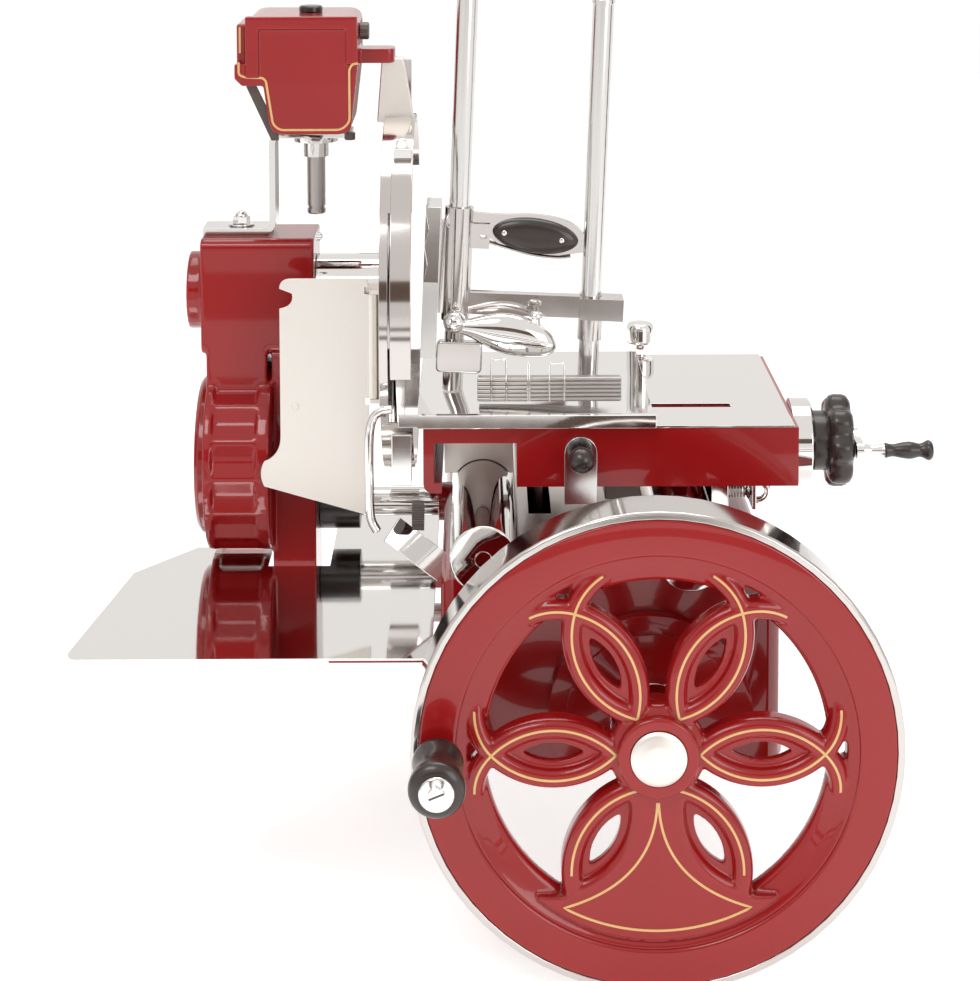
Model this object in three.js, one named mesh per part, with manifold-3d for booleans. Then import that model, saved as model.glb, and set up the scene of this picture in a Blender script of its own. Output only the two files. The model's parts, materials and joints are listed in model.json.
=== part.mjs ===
// Hand cranked flywheel slicer, built as separate pieces. Millimetres, +Z up.
// +X is to the operator's right, +Y away from the operator, who stands at the flywheel.
// The origin is the centre of the base's underside.
import * as THREE from 'three';
import { mergeVertices } from 'three/addons/utils/BufferGeometryUtils.js';
import Module from 'manifold-3d';

const wasm = await Module();
wasm.setup();

// Fits shared by every piece
const gap = 0.3;          // between two pieces that touch
const running = 0.5;      // between a turning piece and what it turns in
const over = 2;           // how far a cut runs past the face it opens

// Driving dimensions and places
const blade = { radius: 160, thick: 4, x: -193, z: 373, hubRadius: 46, hubDepth: 7, dish: 3, edge: 9 };
const wheel = { x: 35, z: 45, faceY: -345, radius: 204, bandInner: 168, rimWall: 7, rimDepth: 50,
  bandDepth: 36, hubRadius: 35, hubProud: 8, hubDepth: 58 };
const rail = { radius: 30, z: 188, leftX: -113, rightX: 70, frontY: -265, length: 560, chamfer: 1.5,
  plugRadius: 7, plugDepth: 0.8 };
const base = { width: 302, frontY: -250, depth: 500, height: 166, wall: 9, roof: 13, corner: 34,
  footHeight: 14, footProud: 5, plateThick: 6, shoulder: 14 };
const slide = { leftX: -168, rightX: 178, frontY: -165, depth: 270, bottomZ: 223, topZ: 278, wall: 10,
  legBottomZ: 217, legReach: 17, legCorner: 9, mouthRightX: -82, roof: 14 };
const lay = { z: 208, radius: 90 };      // axis and size of the fluted drum on the chain housing
const cross = { y: 0, z: 45 };           // axis of the shaft that crosses from base to housing

const colour = {
  red: { color: 0xa31218, roughness: 0.22, metalness: 0.0 },
  chrome: { color: 0xd8d8d8, roughness: 0.08, metalness: 1.0 },
  satin: { color: 0xd2ccc2, roughness: 0.35, metalness: 1.0 },
  steel: { color: 0x8c8c8c, roughness: 0.4, metalness: 1.0 },
  black: { color: 0x16110f, roughness: 0.35, metalness: 0.0 },
  dark: { color: 0x3a302c, roughness: 0.45, metalness: 0.4 },
  stone: { color: 0xb7b2a6, roughness: 0.9, metalness: 0.0 },
};

// A closed mesh as a solid that can be joined and cut
function solid(geometry) {
  const bare = geometry.clone();
  bare.deleteAttribute('normal');
  bare.deleteAttribute('uv');
  const merged = mergeVertices(bare, 1e-4);
  const place = merged.getAttribute('position');
  const corners = Array.from(merged.index.array);
  let volume = 0;
  const [a, b, c] = [new THREE.Vector3(), new THREE.Vector3(), new THREE.Vector3()];
  const faces = [];
  for (let i = 0; i < corners.length; i += 3) {
    const face = corners.slice(i, i + 3);
    if (face[0] === face[1] || face[1] === face[2] || face[2] === face[0]) continue;
    [a, b, c].forEach((point, k) => point.fromBufferAttribute(place, face[k]));
    volume += a.dot(b.cross(c));
    faces.push(face);
  }
  const triVerts = new Uint32Array(faces.flatMap((face) => (volume < 0 ? face.reverse() : face)));
  return new wasm.Manifold(new wasm.Mesh({ numProp: 3, vertProperties: new Float32Array(place.array),
    triVerts }));
}

function join(first, ...others) {
  return others.reduce((whole, piece) => whole.add(piece), first);
}

function cut(body, ...tools) {
  return tools.reduce((rest, tool) => rest.subtract(tool), body);
}

// Turns a shape's own axes so that its extrusion or spin axis lies along x, y or z
const turned = {
  x: new THREE.Matrix4().set(0, 0, 1, 0, 1, 0, 0, 0, 0, 1, 0, 0, 0, 0, 0, 1),
  y: new THREE.Matrix4().set(1, 0, 0, 0, 0, 0, -1, 0, 0, 1, 0, 0, 0, 0, 0, 1),
  z: new THREE.Matrix4(),
};

// The outline's two coordinates are Y, Z along x; X, Z along y; X, Y along z
function prism(outline, axis, from, to, curveSegments = 12) {
  const shape = outline instanceof THREE.Shape ? outline : new THREE.Shape(outline.map(([u, v]) =>
    new THREE.Vector2(u, v)));
  const geometry = new THREE.ExtrudeGeometry(shape, { depth: to - from, bevelEnabled: false, curveSegments });
  geometry.applyMatrix4(turned[axis]);
  const start = axis === 'y' ? to : from;
  geometry.translate(axis === 'x' ? start : 0, axis === 'y' ? start : 0, axis === 'z' ? start : 0);
  return solid(geometry);
}

function block(x, y, z) {
  const geometry = new THREE.BoxGeometry(x[1] - x[0], y[1] - y[0], z[1] - z[0]);
  geometry.translate((x[0] + x[1]) / 2, (y[0] + y[1]) / 2, (z[0] + z[1]) / 2);
  return solid(geometry);
}

// A turned piece: profile points are [radius, place along the axis], closed on the axis
function turning(profile, axis, centre = [0, 0], segments = 24) {
  const geometry = new THREE.LatheGeometry(profile.map(([r, h]) => new THREE.Vector2(r, h)), segments);
  if (axis === 'x') geometry.rotateZ(-Math.PI / 2).translate(0, centre[0], centre[1]);
  if (axis === 'y') geometry.translate(centre[0], 0, centre[1]);
  if (axis === 'z') geometry.rotateX(Math.PI / 2).translate(centre[0], centre[1], 0);
  return solid(geometry);
}

function rod(radius, axis, from, to, centre = [0, 0], segments = 24) {
  return turning([[0, from], [radius, from], [radius, to], [0, to]], axis, centre, segments);
}

function ring(inner, outer, axis, from, to, centre = [0, 0], segments = 24) {
  const profile = [[inner, from], [outer, from], [outer, to], [inner, to], [inner, from]];
  return turning(profile, axis, centre, segments);
}

// A rectangle with rounded corners, as a shape about its centre
function rounded(width, height, radius, centre = [0, 0]) {
  const [w, h] = [width / 2, height / 2];
  const shape = new THREE.Shape();
  const [cx, cy] = centre;
  shape.absarc(cx + w - radius, cy + h - radius, radius, 0, Math.PI / 2);
  shape.absarc(cx - w + radius, cy + h - radius, radius, Math.PI / 2, Math.PI);
  shape.absarc(cx - w + radius, cy - h + radius, radius, Math.PI, 1.5 * Math.PI);
  shape.absarc(cx + w - radius, cy - h + radius, radius, 1.5 * Math.PI, 2 * Math.PI);
  return shape;
}

// Points of an arc, from one angle to another, in degrees
function arc(centre, radius, from, to, steps) {
  return Array.from({ length: steps + 1 }, (_, i) => {
    const angle = THREE.MathUtils.degToRad(from + ((to - from) * i) / steps);
    return [centre[0] + radius * Math.cos(angle), centre[1] + radius * Math.sin(angle)];
  });
}

// A line of points widened to a flat band
function band(points, width) {
  const sides = points.map((point, i) => {
    const before = points[Math.max(i - 1, 0)];
    const after = points[Math.min(i + 1, points.length - 1)];
    const run = Math.hypot(after[0] - before[0], after[1] - before[1]);
    const across = [-(after[1] - before[1]) / run, (after[0] - before[0]) / run];
    return [1, -1].map((side) => [point[0] + (side * across[0] * width) / 2,
      point[1] + (side * across[1] * width) / 2]);
  });
  return [...sides.map((pair) => pair[0]), ...sides.map((pair) => pair[1]).reverse()];
}

// A toothed wheel's outline
function toothed(count, root, tip) {
  const points = [];
  const shares = [[-0.28, root], [-0.14, tip], [0.14, tip], [0.28, root]];
  for (let tooth = 0; tooth < count; tooth += 1) {
    for (const [share, radius] of shares) {
      const angle = ((tooth + share) * 2 * Math.PI) / count;
      points.push([radius * Math.cos(angle), radius * Math.sin(angle)]);
    }
  }
  return points;
}

const model = new THREE.Group();
model.name = 'meat_slicer';

function group(x, y, z, parent = model) {
  const holder = new THREE.Group();
  holder.position.set(x, y, z);
  parent.add(holder);
  return holder;
}

function piece(name, body, finish, parent = model) {
  const made = body.getMesh();
  const geometry = new THREE.BufferGeometry();
  geometry.setAttribute('position', new THREE.BufferAttribute(new Float32Array(made.vertProperties), 3));
  geometry.setIndex(new THREE.BufferAttribute(new Uint32Array(made.triVerts), 1));
  const mesh = new THREE.Mesh(geometry, new THREE.MeshStandardMaterial(finish));
  mesh.name = name;
  parent.add(mesh);
  return mesh;
}

// Base casting: an open-bottomed box under the rails, with a foot and a shelf for the tray
const bridge = { y: 30, z: 149, radius: 14, tenon: 8, bossRadius: 19, bossReach: 6, sleeve: 26,
  sleeveX: -236 };
const shelf = { reachX: -250, frontY: -262, width: 26, thick: 14 };
const tray = { z: 109, thick: 2, leftX: -477, frontY: -294.6, clear: 2, sideBackY: -70, cornerX: -397,
  cornerY: 5, backY: 175, notchLeftX: -322, notchFrontY: -52, legX: -262 };
tray.rightX = -(base.width / 2 + base.footProud + tray.clear);
const frontBoss = { radius: 91, proud: 12, step: 75, stepProud: 4, collar: 37, collarDepth: 14, panel: 1.5,
  border: 12 };
const topSlot = { x: -58, width: 22, frontY: -70, length: 140 };

function baseCasting() {
  const { width, depth, frontY, height, wall, roof, footHeight, footProud, shoulder } = base;
  const half = width / 2;
  const backY = frontY + depth;
  const section = [[-half - footProud, 0], [half + footProud, 0], [half + footProud, footHeight],
    [half, footHeight + footProud], [half, height - shoulder],
    ...arc([half - shoulder, height - shoulder], shoulder, 0, 90, 5),
    ...arc([-half + shoulder, height - shoulder], shoulder, 90, 180, 5), [-half, footHeight + footProud],
    [-half - footProud, footHeight]];
  let body = prism(section, 'y', frontY, backY);
  const fill = rounded(width + 2 * footProud, depth + 2 * footProud, base.corner, [0, frontY + depth / 2]);
  body = body.intersect(prism(fill, 'z', 0, height, 8));
  const inner = rounded(width - 2 * wall, depth - 2 * wall, base.corner - wall, [0, frontY + depth / 2]);
  body = cut(body, prism(inner, 'z', -over, height - roof, 6));
  // Seats of the two rails, the slot of the connecting rod and the bores of the shafts
  const seats = [rail.leftX, rail.rightX].map((x) =>
    rod(rail.radius + gap, 'y', frontY - over, backY + over, [x, rail.z], 32));
  const slot = block([topSlot.x - topSlot.width / 2, topSlot.x + topSlot.width / 2],
    [topSlot.frontY, topSlot.frontY + topSlot.length], [height - roof - over, height + over]);
  const wheelBore = rod(shaft.radius + running, 'y', frontY - 2 * frontBoss.proud,
    frontY + wall + bearing.depth + over,
    [wheel.x, wheel.z]);
  const backBore = rod(shaft.radius + running, 'y', backY - wall - bearing.depth - over,
    shaft.backY + running,
    [wheel.x, wheel.z]);
  const { radius, proud, step, stepProud, panel, border } = frontBoss;
  const front = join(rod(radius, 'y', frontY - proud, frontY + wall / 2, [wheel.x, wheel.z], 40),
    rod(step, 'y', frontY - proud - stepProud, frontY, [wheel.x, wheel.z], 40))
    .intersect(block([-half, half], [frontY - 2 * proud, frontY + wall], [0, height]));
  const panelTop = rail.z - rail.radius - border;
  const panelCut = prism(rounded(width - 2 * base.corner, panelTop - footHeight - border, border,
    [0, (panelTop + footHeight + border) / 2]), 'y', frontY - over, frontY + panel, 4);
  const boss = join(
    front,
    rod(bearing.radius, 'y', frontY + wall / 2, frontY + wall + bearing.depth, [wheel.x, wheel.z]),
    rod(bearing.radius, 'y', backY - wall - bearing.depth, backY - wall / 2, [wheel.x, wheel.z]),
    rod(bearing.radius, 'x', -half + wall / 2, -half + wall + bearing.depth, [cross.y, cross.z]),
    rod(bridge.bossRadius, 'x', -half - bridge.bossReach, -half + wall, [bridge.y, bridge.z]),
  );
  const crossBore = rod(crossShaft.radius + running, 'x', -half - over, -half + wall + bearing.depth + over,
    [cross.y, cross.z]);
  const bridgeBore = rod(bridge.radius + gap, 'x', -half - bridge.bossReach - over,
    -half - bridge.bossReach + bridge.tenon + gap,
    [bridge.y, bridge.z]);
  const shelfTop = tray.z - gap;
  const shelves = [shelf.frontY, tray.sideBackY].map((y) => block([shelf.reachX, -half + wall / 2],
    [y, y + shelf.width], [shelfTop - shelf.thick, shelfTop]));
  return cut(join(cut(body, panelCut), boss, ...shelves), ...seats, slot, wheelBore, backBore, crossBore,
    bridgeBore);
}

function bottomCover() {
  const fit = base.wall + gap;
  const outline = rounded(base.width - 2 * fit, base.depth - 2 * fit, base.corner - fit,
    [0, base.frontY + base.depth / 2]);
  return prism(outline, 'z', 0, base.plateThick, 6);
}

function roundRail() {
  const { radius, length, chamfer, plugRadius, plugDepth } = rail;
  const half = length / 2;
  return turning([[0, -half + plugDepth], [plugRadius, -half + plugDepth], [plugRadius + plugDepth, -half],
    [radius - chamfer, -half], [radius, -half + chamfer], [radius, half - chamfer], [radius - chamfer, half],
    [0, half]], 'y', [0, 0], 36);
}

const drip = { leftX: -81, rightX: 38, margin: 14, thick: 1.5, lip: 5, clear: 0.3 };

function dripPlate() {
  const { leftX, rightX, margin, thick, lip, clear } = drip;
  const [front, back] = [base.frontY + margin, base.frontY + base.depth - margin];
  const z = base.height + clear;
  const sheet = join(block([leftX, rightX], [front, back], [z, z + thick]),
    block([leftX, leftX + thick], [front, back], [z, z + lip]),
    block([rightX - thick, rightX], [front, back], [z, z + lip]));
  return cut(sheet, block([topSlot.x - topSlot.width / 2, topSlot.x + topSlot.width / 2],
    [topSlot.frontY, topSlot.frontY + topSlot.length], [z - over, z + lip + over]));
}

// The shaft that carries the chain housing, and the black sleeve over its end
function bridgeShaft() {
  return rod(bridge.radius, 'x', housing.rightX + gap, -base.width / 2 - bridge.bossReach + bridge.tenon,
    [bridge.y, bridge.z], 28);
}

function bridgeSleeve() {
  return ring(bridge.radius + gap, bridge.sleeve, 'x', housing.rightX + gap, bridge.sleeveX,
    [bridge.y, bridge.z], 32);
}

// Slice tray: a mirror-bright sheet with its rear corner cut off and a notch round the housing's leg
function sliceTray() {
  const { z, thick, leftX, frontY, rightX, sideBackY, cornerX, cornerY, backY, notchLeftX,
    notchFrontY } = tray;
  const shape = new THREE.Shape();
  const corner = base.corner / 2;
  shape.moveTo(leftX + corner, frontY);
  shape.lineTo(rightX, frontY);
  shape.lineTo(rightX, backY);
  shape.lineTo(tray.legX, backY);
  shape.lineTo(tray.legX, notchFrontY);
  shape.lineTo(notchLeftX, notchFrontY);
  shape.lineTo(notchLeftX, cornerY);
  shape.lineTo(cornerX, cornerY);
  shape.lineTo(leftX + (cornerX - leftX) / 3, sideBackY);
  shape.lineTo(leftX, frontY + corner);
  shape.quadraticCurveTo(leftX, frontY, leftX + corner, frontY);
  return prism(shape, 'z', z, z + thick, 6);
}

// Parts of the drive train inside the base
const shaft = { radius: 12, backY: 239 };
const bearing = { radius: 22, depth: 22 };
const crossShaft = { radius: 9, leftX: -306 };
const bevel = { teeth: 24, pinionTeeth: 18, gearRadius: 28, tooth: 1.3, shrink: 0.62 };
bevel.pinionRadius = (bevel.gearRadius * bevel.pinionTeeth) / bevel.teeth;
bevel.gearDepth = bevel.pinionRadius * (1 - bevel.shrink);
bevel.pinionDepth = bevel.gearRadius * (1 - bevel.shrink);
const crank = { x: -82, thick: 9, throw: 20, pinRadius: 5, pinLength: 30, webRadius: 13 };
const rodBar = { width: 15, thick: 8, eye: 11, length: 128 };

// A bevel gear narrows along its own axis
function bevelGear(teeth, tip, root, depth, shrink) {
  const shape = new THREE.Shape(toothed(teeth, root, tip).map(([u, v]) => new THREE.Vector2(u, v)));
  const geometry = new THREE.ExtrudeGeometry(shape, { depth, bevelEnabled: false });
  const place = geometry.getAttribute('position');
  for (let i = 0; i < place.count; i += 1) {
    const share = 1 - ((1 - shrink) * place.getZ(i)) / depth;
    place.setXY(i, place.getX(i) * share, place.getY(i) * share);
  }
  return solid(geometry);
}

// The gear's wide end faces the flywheel; its cone points at the crossing of the two shafts
function drivingBevel() {
  const { teeth, gearRadius, pinionRadius, tooth, gearDepth, shrink } = bevel;
  const cone = bevelGear(teeth, gearRadius + tooth, gearRadius - tooth * 1.5, gearDepth, shrink);
  const body = cone.rotate([-90, 0, 0]).translate([0, -pinionRadius, 0]);
  return cut(body, rod(shaft.radius + gap, 'y', -pinionRadius - over, over, [0, 0], 20));
}

function bevelPinion() {
  const { pinionTeeth, gearRadius, pinionRadius, tooth, pinionDepth, shrink } = bevel;
  const cone = bevelGear(pinionTeeth, pinionRadius + tooth, pinionRadius - tooth * 1.5, pinionDepth, shrink);
  const left = wheel.x - gearRadius;
  const body = cone.rotate([0, 90, 0]).translate([left, 0, 0]);
  return cut(body, rod(crossShaft.radius + gap, 'x', left - over, left + pinionDepth + over, [0, 0], 24));
}

// Cross shaft with a crank between two webs; the shaft stops at each web so the rod can swing through
function crankShaft() {
  const { x, thick, throw: reach, pinRadius, pinLength, webRadius } = crank;
  const webs = [x, x + thick + pinLength].map((left) => join(
    rod(webRadius, 'x', left, left + thick, [0, 0], 16),
    rod(webRadius - thick / 2, 'x', left, left + thick, [0, reach], 16),
    block([left, left + thick], [thick / 2 - webRadius, webRadius - thick / 2], [0, reach]),
  ));
  return join(...webs, rod(crossShaft.radius, 'x', crossShaft.leftX, x + over, [0, 0], 24),
    rod(pinRadius, 'x', x + over, x + thick + pinLength + over, [0, reach], 20),
    rod(crossShaft.radius, 'x', x + thick + pinLength + over,
      wheel.x - bevel.gearRadius + bevel.pinionDepth, [0, 0], 24));
}

function connectingRod() {
  const { width, thick, eye, length } = rodBar;
  const eyes = [0, length].map((z) => rod(eye, 'x', 0, thick, [0, z], 20));
  const bar = block([0, thick], [-width / 2, width / 2], [0, length]);
  const bores = [0, length].map((z) => rod(crank.pinRadius + running, 'x', -over, thick + over, [0, z], 16));
  return cut(join(bar, ...eyes), ...bores);
}

// Flywheel: six pierced petals between a hub and a flat band, in a chrome rim. Local origin: the
// centre of its face, with the face in the XZ plane and the depth along +Y
const petal = { count: 6, innerTip: 35.8, crossing: 142, halfWidth: 22, ribWidth: 17, ribDepth: 22,
  floorFront: 7, floorDepth: 9, slotLength: 52, slotWidth: 16, flare: 24, solidAngle: 270 };
const web = { inner: 147, depth: 10, holeInner: 151, holeOuter: 162, holeHalf: 7 };
const fan = { radius: 163, depth: 14, halfAngle: 35 };
const cap = { radius: 24, depth: 5, lip: 2 };
const grip = { armRadius: 187, gapToFace: 10, length: 64, farRadius: 22, waist: 16.5, nearRadius: 24,
  bore: 7, washerRadius: 15, washerDepth: 3, headRadius: 7.5, headDepth: 2, spindle: 6.4, foot: 12,
    footDepth: 9 };

// Circle of one side of a petal, through both its crossings and its widest point
const petalHalf = (petal.crossing - petal.innerTip) / 2;
const petalMiddle = (petal.crossing + petal.innerTip) / 2;
const petalRadius = (petalHalf ** 2 + petal.halfWidth ** 2) / (2 * petal.halfWidth);
const petalSpan = THREE.MathUtils.radToDeg(Math.asin(petalHalf / petalRadius));

function turnAbout(points, degrees) {
  const angle = THREE.MathUtils.degToRad(degrees);
  return points.map(([u, v]) => [u * Math.cos(angle) - v * Math.sin(angle),
    u * Math.sin(angle) + v * Math.cos(angle)]);
}

// Middle line of one side, from the hub outwards; a flared side runs on into the band
function petalLine(side, angle, flared) {
  const centre = [petalMiddle, petal.halfWidth - petalRadius];
  const reach = flared ? 90 - petalSpan - petal.flare : 90 - petalSpan;
  const line = arc(centre, petalRadius, 90 + petalSpan, reach, 7).map(([u, v]) => [u, side * v]);
  return turnAbout(line, angle);
}

function petalSide(side, angle, flared) {
  return prism(band(petalLine(side, angle, flared), petal.ribWidth), 'y', 0, petal.ribDepth);
}

function lens(length, width) {
  const radius = ((length / 2) ** 2 + (width / 2) ** 2) / width;
  const span = THREE.MathUtils.radToDeg(Math.asin(length / 2 / radius));
  const top = arc([petalMiddle, width / 2 - radius], radius, 90 - span, 90 + span, 6);
  const bottom = arc([petalMiddle, radius - width / 2], radius, 270 - span, 270 + span, 6);
  return [...top, ...bottom.slice(1, -1)];
}

function petalAt(angle) {
  const lower = Math.abs(angle - petal.solidAngle) < 360 / petal.count;
  const towardFan = angle < petal.solidAngle ? 1 : -1;
  const sides = [1, -1].map((side) => petalSide(side, angle, !(lower && side === towardFan)));
  const floor = prism(turnAbout(lens(2 * petalHalf, 2 * petal.halfWidth), angle), 'y', petal.floorFront,
    petal.floorFront + petal.floorDepth);
  return join(...sides, floor);
}

// Small triangular hole beyond a petal's tip
function webHole(angle) {
  const { holeInner, holeOuter, holeHalf } = web;
  return prism(turnAbout([[holeInner, 0], [holeOuter, -holeHalf], [holeOuter, holeHalf]], angle), 'y', -over,
    web.depth + over);
}

// Plain panel between the inner sides of the two lower petals
function fanPanel() {
  const edge = petalLine(1, petal.solidAngle - 180 / petal.count, true);
  const other = petalLine(-1, petal.solidAngle + 180 / petal.count, true);
  const rounded = arc([0, 0], fan.radius, petal.solidAngle + fan.halfAngle,
    petal.solidAngle - fan.halfAngle, 8);
  return prism([...other, ...rounded, ...edge.reverse()], 'y', 0, fan.depth);
}

function flywheelBody() {
  const { radius, bandInner, bandDepth, hubRadius, hubProud, hubDepth } = wheel;
  const angles = Array.from({ length: petal.count }, (_, i) => (i * 360) / petal.count);
  const hub = rod(hubRadius, 'y', -hubProud, hubDepth - hubProud, [0, 0], 24);
  const outer = ring(bandInner, radius, 'y', 0, bandDepth, [0, 0], 64);
  const face = ring(web.inner, bandInner + gap, 'y', 0, web.depth, [0, 0], 64);
  const slots = angles.map((angle) => prism(turnAbout(lens(petal.slotLength, petal.slotWidth), angle), 'y',
    -over,
    petal.ribDepth + over));
  const inside = rod(bandInner + over, 'y', -over, bandDepth, [0, 0], 64);
  const spokes = join(...angles.map(petalAt)).intersect(inside);
  const holes = angles.filter((angle) => angle <= petal.solidAngle - 90).map((angle) => webHole(angle));
  const body = cut(join(outer, hub, spokes, face, fanPanel()), ...slots, ...holes);
  const bore = rod(shaft.radius + gap, 'y', -hubProud - over, hubDepth + over);
  const spindleBore = rod(grip.spindle + gap, 'y', -over, grip.footDepth + gap, [-grip.armRadius, 0], 20);
  const capSeat = rod(cap.radius - cap.lip + gap, 'y', -hubProud - over, -hubProud + cap.lip + gap, [0, 0],
    24);
  return cut(body, bore, spindleBore, capSeat);
}

function hubCap() {
  const { radius, depth, lip } = cap;
  const face = -wheel.hubProud - gap;
  return turning([[0, face - depth], [radius / 2, face - depth * 0.8], [radius - lip / 2, face - lip],
    [radius, face - lip / 2], [radius, face], [radius - lip, face], [radius - lip, face + lip],
      [0, face + lip]],
  'y', [0, 0], 24);
}

function gripSpindle() {
  const { gapToFace, length, spindle, washerRadius, washerDepth, headRadius, headDepth, foot,
    footDepth } = grip;
  const end = -gapToFace - length - running;
  return turning([[0, end - washerDepth - headDepth], [headRadius, end - washerDepth - headDepth],
    [headRadius, end - washerDepth], [washerRadius - headDepth, end - washerDepth],
      [washerRadius, end - headDepth],
    [washerRadius, end], [spindle, end], [spindle, -gapToFace + running], [foot, -gapToFace + running],
      [foot, -gap],
    [spindle, -gap], [spindle, footDepth], [0, footDepth]], 'y', [0, 0], 18);
}

function crankGrip() {
  const { gapToFace, length, farRadius, waist, nearRadius, bore } = grip;
  const [far, near] = [-gapToFace, -gapToFace - length];
  const rows = [[bore, near], [nearRadius * 0.8, near], [nearRadius, near + length * 0.1],
    [nearRadius, near + length * 0.24], [nearRadius * 0.86, near + length * 0.36],
      [waist, near + length * 0.52],
    [waist * 1.03, near + length * 0.66], [farRadius * 0.9, near + length * 0.8],
      [farRadius, near + length * 0.92],
    [farRadius * 0.92, far], [bore, far], [bore, near]];
  return turning(rows, 'y', [0, 0], 24);
}

function flywheelRim() {
  const { radius, rimWall, rimDepth } = wheel;
  const [inner, outer] = [radius + gap, radius + rimWall];
  const edge = rimWall / 4;
  return turning([[inner, 0], [outer - edge, 0], [outer, edge], [outer, rimDepth - edge],
    [outer - edge, rimDepth],
    [inner, rimDepth], [inner, 0]], 'y', [0, 0], 64);
}

// Shaft from the hub's face to the rear bearing in the base
function wheelShaft() {
  return rod(shaft.radius, 'y', -wheel.hubProud + cap.lip + 2 * gap, shaft.backY - wheel.faceY, [0, 0], 20);
}

// Chain housing: upper block, fluted drum and plain leg in one casting, with the chain's channel inside
const housing = { leftX: -386, rightX: -276, blockTopZ: 431, blockBottomZ: 318, halfDepth: 46, wall: 8,
  legLeftX: -318, drumLeftX: -381, drumRightX: -322, bossX: -401, bossRadius: 38, corner: 9, flutes: 16,
  fluteDepth: 5, upperChainX: -352, lowerChainX: -299, chamber: 80, mouth: 71, legRadius: 42,
    webLeftX: -324 };
const drumCover = { radius: 77, thick: 10, spigot: 4, chamfer: 4 };
const chain = { lowRadius: 30, highRadius: 20, legRadius: 22, width: 10, depth: 6, stand: 3.3,
  teethPer: 0.3 };
const bladeShaft = { radius: 12, leftX: -366 };
const layShaft = { radius: 10, rightX: -280 };
const tube = { radius: 35, bore: 27 };

function chainHousing() {
  const { leftX, rightX, blockTopZ, blockBottomZ, halfDepth, wall, legLeftX, drumLeftX, drumRightX, bossX,
    bossRadius, corner, flutes, fluteDepth, chamber, mouth, legRadius, webLeftX } = housing;
  const height = blockTopZ - blockBottomZ;
  const upper = prism(rounded(2 * halfDepth, height, corner, [0, blockBottomZ + height / 2]), 'x', leftX,
    rightX, 4);
  const fluted = Array.from({ length: flutes * 2 }, (_, i) => {
    const angle = (i * Math.PI) / flutes;
    const radius = lay.radius + (i % 2 === 0 ? fluteDepth / 2 : -fluteDepth / 2);
    return [radius * Math.cos(angle), lay.z + radius * Math.sin(angle)];
  });
  const drum = prism(fluted, 'x', drumLeftX, drumRightX);
  const rims = [[drumLeftX, drumLeftX + wall], [drumRightX - wall, drumRightX + fluteDepth]].map(([a, b]) =>
    rod(lay.radius + fluteDepth / 2, 'x', a, b, [0, lay.z], 40));
  const leg = join(block([legLeftX, rightX], [-legRadius, legRadius], [cross.z, blockBottomZ + corner]),
    rod(legRadius, 'x', legLeftX, rightX, [cross.y, cross.z], 32));
  const boss = rod(bossRadius, 'x', bossX, leftX + over, [0, blade.z], 32);
  const neck = block([drumLeftX, drumRightX], [-halfDepth, halfDepth], [lay.z, blockBottomZ + corner]);
  const casting = join(upper, drum, ...rims, neck, leg, boss);
  const channel = halfDepth - wall;
  const legChannel = legRadius - wall;
  const hollow = join(
    rod(chamber, 'x', drumLeftX + wall, webLeftX, [0, lay.z], 32),
    rod(mouth, 'x', drumLeftX - over, drumLeftX + wall + over, [0, lay.z], 40),
    block([drumLeftX + wall, webLeftX], [-channel, channel], [lay.z, blade.z]),
    rod(channel, 'x', drumLeftX + wall, webLeftX, [0, blade.z], 20),
    rod(layShaft.radius * 2, 'x', webLeftX - over, legLeftX + wall + over, [0, lay.z], 16),
    block([legLeftX + wall, rightX - wall], [-legChannel, legChannel], [cross.z, lay.z]),
    rod(legChannel, 'x', legLeftX + wall, rightX - wall, [cross.y, cross.z], 20),
    rod(legChannel, 'x', legLeftX + wall, rightX - wall, [0, lay.z], 20),
  );
  const bores = [
    rod(bladeShaft.radius + running, 'x', bladeShaft.leftX, rightX + over, [0, blade.z], 28),
    rod(layShaft.radius + running, 'x', webLeftX, layShaft.rightX + running, [0, lay.z], 24),
    rod(crossShaft.radius + running, 'x', legLeftX + wall, rightX + over, [cross.y, cross.z], 24),
  ];
  return cut(casting, hollow, ...bores);
}

function drumEndCover() {
  const { radius, thick, spigot, chamfer } = drumCover;
  const right = housing.drumLeftX - gap;
  return turning([[0, right - thick], [radius - chamfer, right - thick], [radius, right - thick + chamfer],
    [radius, right], [housing.mouth - gap, right], [housing.mouth - gap, right + spigot],
      [0, right + spigot]],
  'x', [0, 0], 36);
}

// A closed roller chain round two wheels, as one loop outside their teeth
function chainLoop(x, lowZ, lowRadius, highZ, highRadius) {
  const outline = (extra) => {
    const tilt = THREE.MathUtils.radToDeg(Math.asin((lowRadius - highRadius) / (highZ - lowZ)));
    return [...arc([0, highZ], highRadius + extra, tilt, 180 - tilt, 8),
      ...arc([0, lowZ], lowRadius + extra, 180 - tilt, 360 + tilt, 10)];
  };
  const [from, to] = [x - chain.width / 2, x + chain.width / 2];
  return cut(prism(outline(chain.stand + chain.depth), 'x', from, to),
    prism(outline(chain.stand), 'x', from - over, to + over));
}

function sprocket(radius, x, bore) {
  const teeth = Math.round(radius * chain.teethPer);
  const half = chain.width / 4;
  const wheelBody = prism(toothed(teeth, radius - half, radius + half), 'x', x - half, x + half);
  const hub = rod(bore + chain.depth, 'x', x - chain.width / 2, x + chain.width / 2, [0, 0], 16);
  return cut(join(wheelBody, hub), rod(bore + gap, 'x', x - chain.width, x + chain.width, [0, 0], 16));
}

// The lay shaft's two wheels are one casting: the lower chain drives it and it drives the upper chain
function layWheels() {
  const bore = layShaft.radius;
  const sleeve = ring(bore + gap, bore + chain.depth, 'x', housing.upperChainX, housing.lowerChainX, [0, 0],
    16);
  return join(sleeve, sprocket(chain.lowRadius, housing.upperChainX, bore),
    sprocket(chain.legRadius, housing.lowerChainX, bore));
}

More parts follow.
